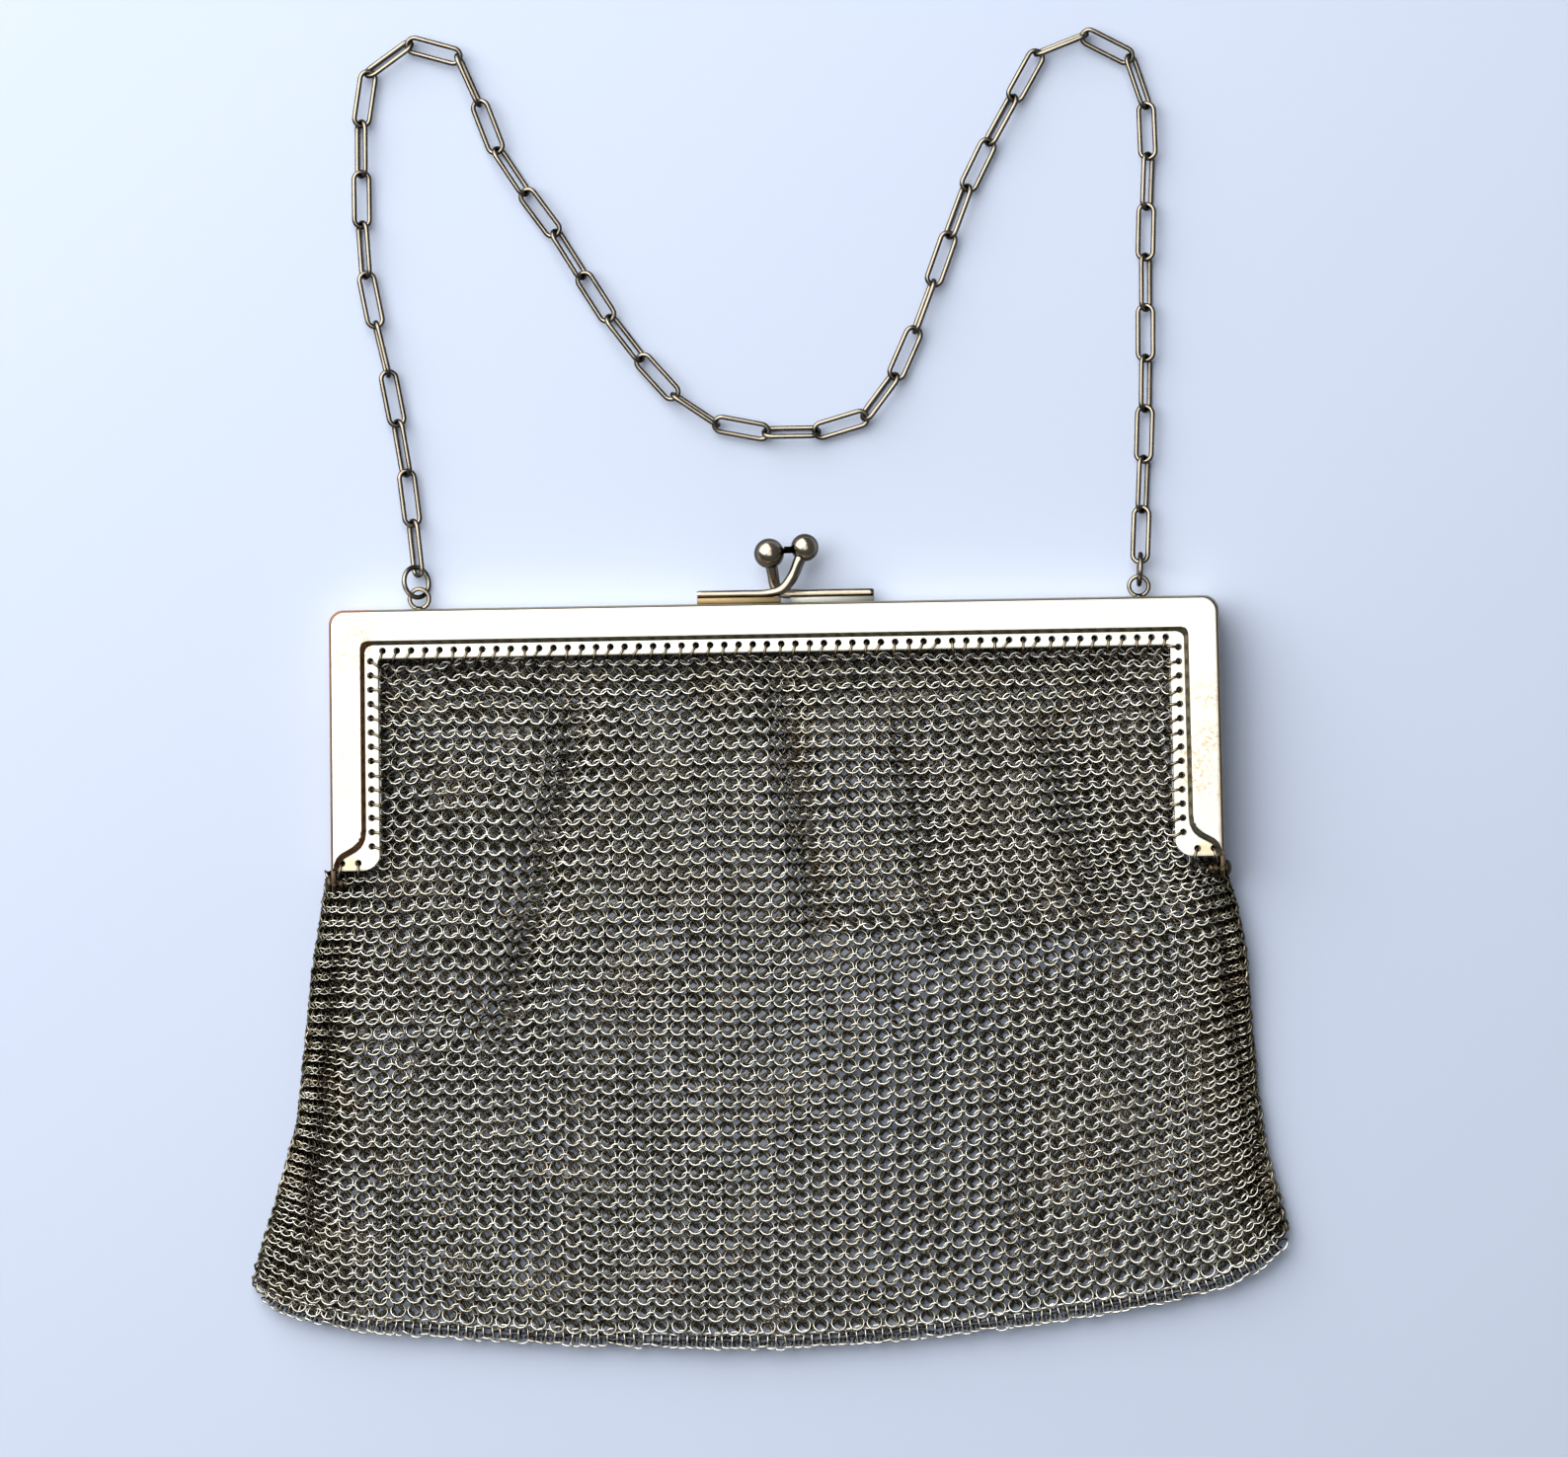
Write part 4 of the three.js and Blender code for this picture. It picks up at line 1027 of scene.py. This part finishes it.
def link_roll(index):
    if index in LINKS_ON_EDGE:
        return LINK_ROLL_ON_EDGE
    return LINK_ROLL_TURNED if index % 2 == 0 else LINK_ROLL_FLAT


def rest_height(roll):
    tilt = abs(math.sin(math.radians(roll)))
    return (LINK_WIDTH - LINK_WIRE) / 2 * tilt + LINK_WIRE / 2


def walk(points, pitch, count):
    """Places along a dense line of points, each a pitch from the one before in a straight line."""
    joints = [points[0]]
    index = 1
    while index < len(points) and len(joints) <= count:
        distances = np.linalg.norm(points[index:] - joints[-1], axis=1)
        far = np.nonzero(distances >= pitch)[0]
        if len(far) == 0:
            break
        found = index + far[0]
        a = points[found - 1]
        b = points[found]
        excess = distances[far[0]] - pitch
        share = min(1.0, excess / max(np.linalg.norm(b - a), 1e-6))
        joints.append(b + (a - b) * share)
        index = found + 1
    return joints


def chain_joints():
    """Where the links hold each other, with the pitch that ends the last link at the route's end."""
    points, length = even_path([(x, y, 0) for x, y in CHAIN_ROUTE], 6000)
    nominal = LINK_LENGTH - 2 * LINK_WIRE
    count = round(length / nominal)
    low = nominal * 0.9
    high = nominal * 1.1
    for _ in range(40):
        pitch = (low + high) / 2
        if len(walk(points, pitch, count)) > count:
            low = pitch
        else:
            high = pitch
    joints = np.array(walk(points, low, count))
    for index in range(len(joints)):
        before = rest_height(link_roll(max(index - 1, 0)))
        after = rest_height(link_roll(min(index, count - 1)))
        joints[index, 2] = max(before, after)
    joints[0, 2] = 0.8 * EYE_HEIGHT
    joints[-1, 2] = EYE_HEIGHT + CLEARANCE
    return joints


def link_shell(start, end, roll):
    """A long link from one joint to the next, rolled about its own length."""
    direction = end - start
    distance = np.linalg.norm(direction)
    along = direction / distance
    across = np.cross((0, 0, 1), along)
    across /= np.linalg.norm(across)
    up = np.cross(along, across)
    angle = math.radians(roll)
    side = across * math.cos(angle) + up * math.sin(angle)
    bow = (LINK_WIDTH - LINK_WIRE) / 2
    reach = (distance + LINK_WIRE - LINK_PLAY) / 2 - bow
    middle = (start + end) / 2
    bow_steps = 12
    route = []
    for end_sign in (1, -1):
        for step in range(bow_steps + 1):
            turn = -math.pi / 2 + math.pi * step / bow_steps
            out = along * (reach + bow * math.cos(turn)) + side * bow * math.sin(turn)
            route.append(middle + end_sign * out)
        for share in (0.75, 0.5, 0.25):
            route.append(middle + end_sign * (along * reach * (2 * share - 1) + side * bow))
    return tube(route, LINK_WIRE / 2, 12, closed=True)


def build_chain():
    joints = chain_joints()
    links = [link_shell(joints[i], joints[i + 1], link_roll(i)) for i in range(len(joints) - 1)]
    mesh = mesh_from("chain_links", links)
    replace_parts(add_object("chain_wire", mesh, "chain_metal", MATERIALS["chain"]), "chain")


def build_jump_rings():
    radius = (JUMP_RING_DIAMETER - JUMP_RING_WIRE) / 2
    hold = EYE_Y + (EYE_DIAMETER - EYE_WIRE) / 2 - (EYE_WIRE + JUMP_RING_WIRE) / 2 - 2 * CLEARANCE
    for name, x, lean, swing in JUMP_RINGS:
        lean_angle = math.radians(lean)
        turn = Matrix.Rotation(math.radians(swing), 3, "Z") @ Matrix.Rotation(lean_angle, 3, "Y")
        height = max(EYE_HEIGHT, JUMP_RING_DIAMETER / 2 * math.cos(lean_angle) + 0.1)
        path = circle((0, radius, 0), radius, (0, 0, 1), (0, 1, 0), 40)
        path = [turn @ Vector(p) + Vector((x, hold, height)) for p in path]
        mesh = mesh_from(name + "_wire", [tube(path, JUMP_RING_WIRE / 2, 14, closed=True)])
        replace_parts(add_object(name + "_round", mesh, "chain_metal", MATERIALS["chain"]), name)


# Ring mesh

def table_row(table, down):
    """What a table's columns say at one place down the bag."""
    return [np.interp(down, table[:, 0], column) for column in table[:, 1:].T]


def fold_shares(x, y):
    """Each fold's height and how much of it there is at each place, from 0 to 1."""
    for x0, y0, x1, y1, width, height in FOLDS:
        share = (y - y0) / (y1 - y0)
        inside = np.clip(np.minimum(share, 1 - share) * 6, 0, 1)
        inside = inside * inside * (3 - 2 * inside)
        centre = x0 + (x1 - x0) * np.clip(share, 0, 1)
        yield height, inside * np.exp(-((x - centre) / width) ** 2)


def fold_height(x, y):
    total = np.zeros_like(x)
    for height, share in fold_shares(x, y):
        total += height * share
    total += 0.22 * np.sin(x / 3.6 + 0.02 * y) * np.sin(y / 17.0 + x / 40.0)
    total += 0.16 * np.sin(x / 1.9 + y / 9.0)
    return total


def crowding(x, y):
    """How much closer the columns of rings stand, most in the furrows."""
    total = np.zeros_like(x)
    for height, share in fold_shares(x, y):
        if height < 0:
            total += -height * share
    return 1 + CROWDING * total


def painted_shade_share(x, y, edge):
    """How much painted shade the rings get, from 0 to 1, at places with their distances from the bag's side.
    """
    furrows = np.zeros_like(x)
    for height, share in fold_shares(x, y):
        if height < -SHADED_FURROW:
            furrows = np.maximum(furrows, share)
    sides = np.clip(1 - edge / SHADE_REACH, 0, 1)
    return np.clip(FURROW_SHADE * furrows + SIDE_SHADE * sides, 0, 1)


def slid(x, y):
    """Places moved a little along and across, as the loose rings are in the bag, most at its left."""
    loose = 0.22 + 0.5 * np.clip((15 - x) / 80, 0, 1)
    shift_x = 0.5 * loose * np.sin(y / 3.1 + x / 7.0) * np.sin(x / 11.0 - y / 19.0 + 0.7)
    shift_y = loose * np.sin(x / 4.3 + y / 9.0 + 1.3) * np.sin(y / 6.7 - x / 21.0)
    shift_y += 0.6 * loose * np.sin(x / 9.0 - y / 15.0)
    return x + shift_x, y + shift_y


def edge_line(side):
    """The bag's outline at one side: y and x, from the bottom up."""
    lift_height = RISE_LEFT + CORNER_LEFT if side < 0 else RISE_RIGHT + CORNER_RIGHT
    rows = []
    for down in np.linspace(1, FOOT_SHARE, 120):
        left, right, lift, _ = table_row(BAG_ROWS, down)
        reach = (left if side < 0 else right) * BAG_WIDTH / 2 - RING_WIRE
        rows.append((MOUTH_Y - down * BAG_LENGTH + lift * lift_height, side * reach))
    return np.array(rows)


EDGE_LINES = {side: edge_line(side) for side in (-1, 1)}


class Layer:
    """One level of the bag: places along the front from edge to edge, and along the back."""

    def __init__(self, down):
        self.down = down
        self.lift = table_row(ROW_LIFT, down)
        height = table_row(BAG_ROWS, down)[3]
        arm = ARM_SHARE * BAG_WIDTH / 2 + (UNDER_ARM if down < FOOT_DOWN else UNDER_FOOT)
        level = MOUTH_Y - down * BAG_LENGTH
        left_y = level + self.lift[0] * RISE_LEFT + self.lift[2] * CORNER_LEFT
        right_y = level + self.lift[1] * RISE_RIGHT + self.lift[2] * CORNER_RIGHT
        self.closed = (left_y < FOOT_Y - 0.9, right_y < FOOT_Y - 0.9)
        self.outline = (np.interp(left_y, *EDGE_LINES[-1].T), np.interp(right_y, *EDGE_LINES[1].T))
        self.left = self.outline[0] if self.closed[0] else -arm
        self.right = self.outline[1] if self.closed[1] else arm
        self.top = min(height, 0.70 + 1.5 * down) * CLOSED_DEPTH - LAYER_HALF
        self.low = LAYER_HALF
        x = np.linspace(self.left, self.right, 1400)
        crowd = crowding((x[1:] + x[:-1]) / 2, self.y_of(x[1:]))
        self.front = self.measured(x, self.profile(x, True), crowd)
        self.back = self.measured(x, self.profile(x, False), 1 / BACK_STRETCH)

    def line(self, front):
        """x, height and length so far along the front or the back."""
        return self.front if front else self.back

    def y_of(self, x):
        q = 2 * (x - self.outline[0]) / (self.outline[1] - self.outline[0]) - 1
        q = np.clip(q, -1.02, 1.02)
        rise = np.where(q < 0, RISE_LEFT * self.lift[0], RISE_RIGHT * self.lift[1])
        corner = np.where(q < 0, CORNER_LEFT, CORNER_RIGHT) * self.lift[2]
        level = MOUTH_Y - self.down * BAG_LENGTH
        return level + rise * np.abs(q) ** RISE_POWER + corner * np.abs(q) ** CORNER_POWER

    def profile(self, x, front):
        y = self.y_of(x)
        base = np.full_like(x, self.top if front else self.low)
        if front:
            base = np.maximum(base + fold_height(x, y), self.low + 1.0)
        middle = (self.top + self.low) / 2
        near = np.where(self.closed[0], x - self.left, SIDE_ROUNDING)
        near = np.minimum(near, np.where(self.closed[1], self.right - x, SIDE_ROUNDING))
        share = np.clip(near / SIDE_ROUNDING, 0, 1)
        round_share = np.sqrt(np.clip(1 - (1 - share) ** 2, 0, 1))
        base = middle + (base - middle) * round_share
        for closed, beside in zip(self.closed, (x - self.left, self.right - x)):
            if front and not closed:
                under_rim = np.clip(1 - beside / RIM_BLEND, 0, 1)
                base = base - np.maximum(base - RIM_UNDER_TOP, 0) * under_rim ** 0.5
        return base

    def measured(self, x, z, scale):
        return x, z, run_length(np.hypot(np.diff(x), np.diff(z)) * scale)

    def places(self, front, half):
        """Ring centres along this level: x, y and z. The columns start half a column from the middle."""
        x, z, length = self.line(front)
        middle = np.interp(0.0, x, length)
        pitch = table_row(COLUMN_PITCHES, self.down)[0]
        sides = []
        for side, reach, closed, columns in ((-1, middle, self.closed[0], COLUMNS_LEFT),
                                             (1, length[-1] - middle, self.closed[1], COLUMNS_RIGHT)):
            numbers = np.arange(0 if side > 0 else 1, columns + 1) + side * half
            numbers = numbers[numbers <= columns]
            along = pitch * numbers
            if closed:
                first = columns - EDGE_COLUMNS
                late = np.clip((numbers - first) / EDGE_COLUMNS, 0, 1)
                along -= (pitch * columns - reach) * late ** 2
            along = along[along <= reach + 0.01]
            sides.append(middle + side * along)
        wanted = np.sort(np.concatenate(sides))
        px = np.interp(wanted, length, x)
        pz = np.interp(wanted, length, z)
        return px, self.y_of(px), pz


def rings_arrays(centres, u_axes, v_axes, radius, wire, stations, sides, outward=None):
    """Points and quads of many round rings, each with its own centre and two in-plane axes.

    With the mesh's outward directions it also gives each point's height in it, from 0 inside to 1 outside.
    """
    around = np.arange(stations) * 2 * math.pi / stations
    section = np.arange(sides) * 2 * math.pi / sides
    faces = np.array(grid_faces(stations, sides, True), dtype=np.int32)
    n_axes = np.cross(u_axes, v_axes)
    cos_a = np.cos(around)[None, :, None, None]
    sin_a = np.sin(around)[None, :, None, None]
    cos_s = np.cos(section)[None, None, :, None]
    sin_s = np.sin(section)[None, None, :, None]
    out = u_axes[:, None, None, :] * cos_a + v_axes[:, None, None, :] * sin_a
    offset = out * (radius + wire / 2 * cos_s) + n_axes[:, None, None, :] * (wire / 2 * sin_s)
    points = (centres[:, None, None, :] + offset).reshape(-1, 3)
    starts = np.arange(len(centres), dtype=np.int32) * (stations * sides)
    quads = (faces[None, :, :] + starts[:, None, None]).reshape(-1, 4)
    if outward is None:
        return points, quads
    height = np.sum(offset * outward[:, None, None, :], axis=-1).reshape(-1)
    return points, quads, np.clip(0.5 + height / (2 * LAYER_HALF), 0, 1)


def unit(vectors):
    return vectors / np.linalg.norm(vectors, axis=-1, keepdims=True)


def squared(vectors, axes):
    """The vectors turned to stand square on the axes."""
    return unit(vectors - axes * np.sum(axes * vectors, axis=1, keepdims=True))


def lattice(front):
    """The centre, two axes, outward direction and painted shade of each ring in the front or the back layer.
    """
    random = np.random.default_rng(SEED + (0 if front else 1))
    start = FIRST_ROW_DROP + (0.0 if front else BACK_SHIFT)
    fall_length = BAG_LENGTH - FIRST_ROW_DROP - BOTTOM_STRIP - BOTTOM_GAP
    rows = int(round(fall_length / ROW_PITCH / (1.0 if front else BACK_STRETCH)))
    sideways = 0.0 if front else BACK_SIDEWAYS
    step = 0.4 / BAG_LENGTH
    found = []
    for row in range(rows + 1):
        down = (start + fall_length * row / rows) / BAG_LENGTH
        layer = Layer(down)
        x, y, z = layer.places(front, 0.5 * (row % 2) + sideways)
        x_all, z_all, _ = layer.line(front)
        slope = np.clip(np.interp(x, x_all, np.gradient(z_all, x_all)), -5.0, 5.0)
        dy = layer.y_of(x + 0.5) - layer.y_of(x - 0.5)
        u = unit(np.stack([np.ones_like(x), dy, slope], axis=1))
        above = Layer(max(down - step, 0.0005)) if row > 0 else layer
        below = Layer(min(down + step, 0.9995))
        z_above, z_below = (np.interp(x, *near.line(front)[:2]) for near in (above, below))
        fall = (z_above - z_below) / np.maximum(above.y_of(x) - below.y_of(x), 0.2)
        v = squared(np.stack([np.zeros_like(x), np.ones_like(x), np.clip(fall, -0.6, 0.6)], axis=1), u)
        n = np.cross(u, v) if front else -np.cross(u, v)
        tilt = RING_TILT + random.normal(0, TILT_SPREAD, len(x))
        sign = 1.0 if row % 2 == 0 else -1.0
        v_ring = v * np.cos(tilt)[:, None] - sign * n * np.sin(tilt)[:, None]
        turn = random.normal(0, TURN_SPREAD, len(x))
        u_ring = unit(u + n * np.tan(turn)[:, None])
        here = np.stack([x, y, z], axis=1)
        if front:
            loose = np.clip(np.minimum(x - layer.left, layer.right - x) / 6, 0, 1)[:, None]
            here[:, :2] += (np.stack(slid(x, y), axis=1) - here[:, :2]) * loose
        here = here + random.normal(0, PLACE_SPREAD, here.shape)
        edge = np.where(layer.closed[0], x - layer.left, 99.0)
        edge = np.minimum(edge, np.where(layer.closed[1], layer.right - x, 99.0))
        found.append((here, u_ring, squared(v_ring, u_ring), n, painted_shade_share(x, y, edge)))
    return [np.concatenate(part) for part in zip(*found)]


def add_rings(name, points, quads, crest, material):
    """Rings kept just above the floor, with each point's height in the mesh for its colour: painted shade,
    darker lower down.
    """
    points[:, 2] = np.maximum(points[:, 2], LOWEST_POINT)
    mesh = quads_mesh(name, points, quads)
    mesh.attributes.new("crest", "FLOAT", "POINT").data.foreach_set("value", crest.astype(np.float32))
    return add_object(name, mesh, "mesh_metal", MATERIALS[material])


def build_mesh_layer(stem, front, count, wire, stations, sides):
    """One layer of the bag in upright strips, each a piece of its own."""
    centres, us, vs, ns, shades = lattice(front)
    order = np.argsort(centres[:, 0], kind="stable")
    pieces = []
    for number, chosen in enumerate(np.array_split(order, count), 1):
        points, quads, crest = rings_arrays(
            centres[chosen], us[chosen], vs[chosen], RING_RADIUS, wire, stations, sides, ns[chosen])
        # Painted shade: rings at the bag's sides and in its furrows are darker
        crest = crest - SHADE_DEPTH * np.repeat(shades[chosen], stations * sides)
        pieces.append(add_rings(stem + "_" + str(number), points, quads, crest, stem))
    return pieces


def build_rim_rings():
    """The rings that sew the mesh to the rim: each goes through a hole and round the rim's inner edge."""
    random = np.random.default_rng(SEED + 2)
    drop = HALF_DEPTH - RIM_TOP + SHEET / 2
    heights = {"front": CLOSED_DEPTH - drop, "back": drop}
    groups = {"front": [], "back": []}
    for x, y in hole_places():
        for group, height in heights.items():
            if y > ARM_HOLES_TOP_Y + 1:
                toward = Vector((-0.32 + random.normal(0, 0.16), -1.0, 0))
            elif y < BAND_FOOT_Y:
                toward = Vector((random.normal(0, 0.2), -1.0, 0))
            else:
                toward = Vector((-math.copysign(1.0, x), -0.25 + random.normal(0, 0.2), 0))
            toward.normalize()
            centre = Vector((x, y, height)) + toward * RIM_RING_RADIUS * 0.97
            groups[group].append((centre, toward, Vector((0, 0, 1))))
    for group, rings in groups.items():
        centres, us, vs = (np.array(part) for part in zip(*rings))
        points, quads = rings_arrays(centres, us, vs, RIM_RING_RADIUS, RIM_RING_WIRE, 14, 6)
        name = "rim_rings_" + group
        add_object(name, quads_mesh(name, points, quads), "mesh_metal", MATERIALS["rim_ring"])


def build_bottom_edge():
    """The folded edge: rings on edge, like a ladder's bars, joined along both sides by rings across."""
    random = np.random.default_rng(SEED + 3)
    layer = Layer(1.0)
    x = np.linspace(layer.left + 1.5, layer.right - 1.5, 2000)
    y = layer.y_of(x) + BOTTOM_STRIP / 2
    length = run_length(np.hypot(np.diff(x), np.diff(y)))
    count = int(length[-1] / (COLUMN_PITCHES[-1, 1] / 2))
    height = (layer.top + layer.low) / 2
    up = np.array([0.0, 0.0, 1.0])
    centres = []
    us = []
    vs = []
    for index in range(count + 1):
        wanted = length[-1] * index / count
        place = np.array([np.interp(wanted, length, x), np.interp(wanted, length, y), height])
        slope = np.interp(wanted, length, np.gradient(y, x))
        along = unit(np.array([1.0, slope, 0.0]))
        down = unit(np.array([slope, -1.0, 0.0]))
        centres.append(place + along * random.normal(0, 0.08))
        us.append(unit(down + along * random.normal(0, 0.13)))
        vs.append(up)
        for side in (-1, 1):
            centres.append(place + along * 0.75 + down * side * 0.8 + up * random.normal(0.2, 0.2))
            us.append(unit(along + down * random.normal(0, 0.1)))
            tilt = random.normal(0.45, 0.2)
            vs.append(unit(down * side * math.sin(tilt) + up * math.cos(tilt)))
    centres = np.array(centres)
    us = np.array(us)
    vs = squared(np.array(vs), us)
    ups = np.broadcast_to(up, centres.shape)
    points, quads, crest = rings_arrays(centres, us, vs, RING_RADIUS, RING_WIRE, 12, 4, ups)
    add_rings("mesh_bottom_edge", points, quads, crest, "mesh_front")


build_frame()
build_rivets()
build_clasp()
build_chain()
build_jump_rings()
front_pieces = build_mesh_layer("mesh_front", True, 4, RING_WIRE, 12, 4)
build_mesh_layer("mesh_back", False, 2, BACK_WIRE, 7, 3)
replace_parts(front_pieces[0], "mesh_bag")
build_rim_rings()
build_bottom_edge()
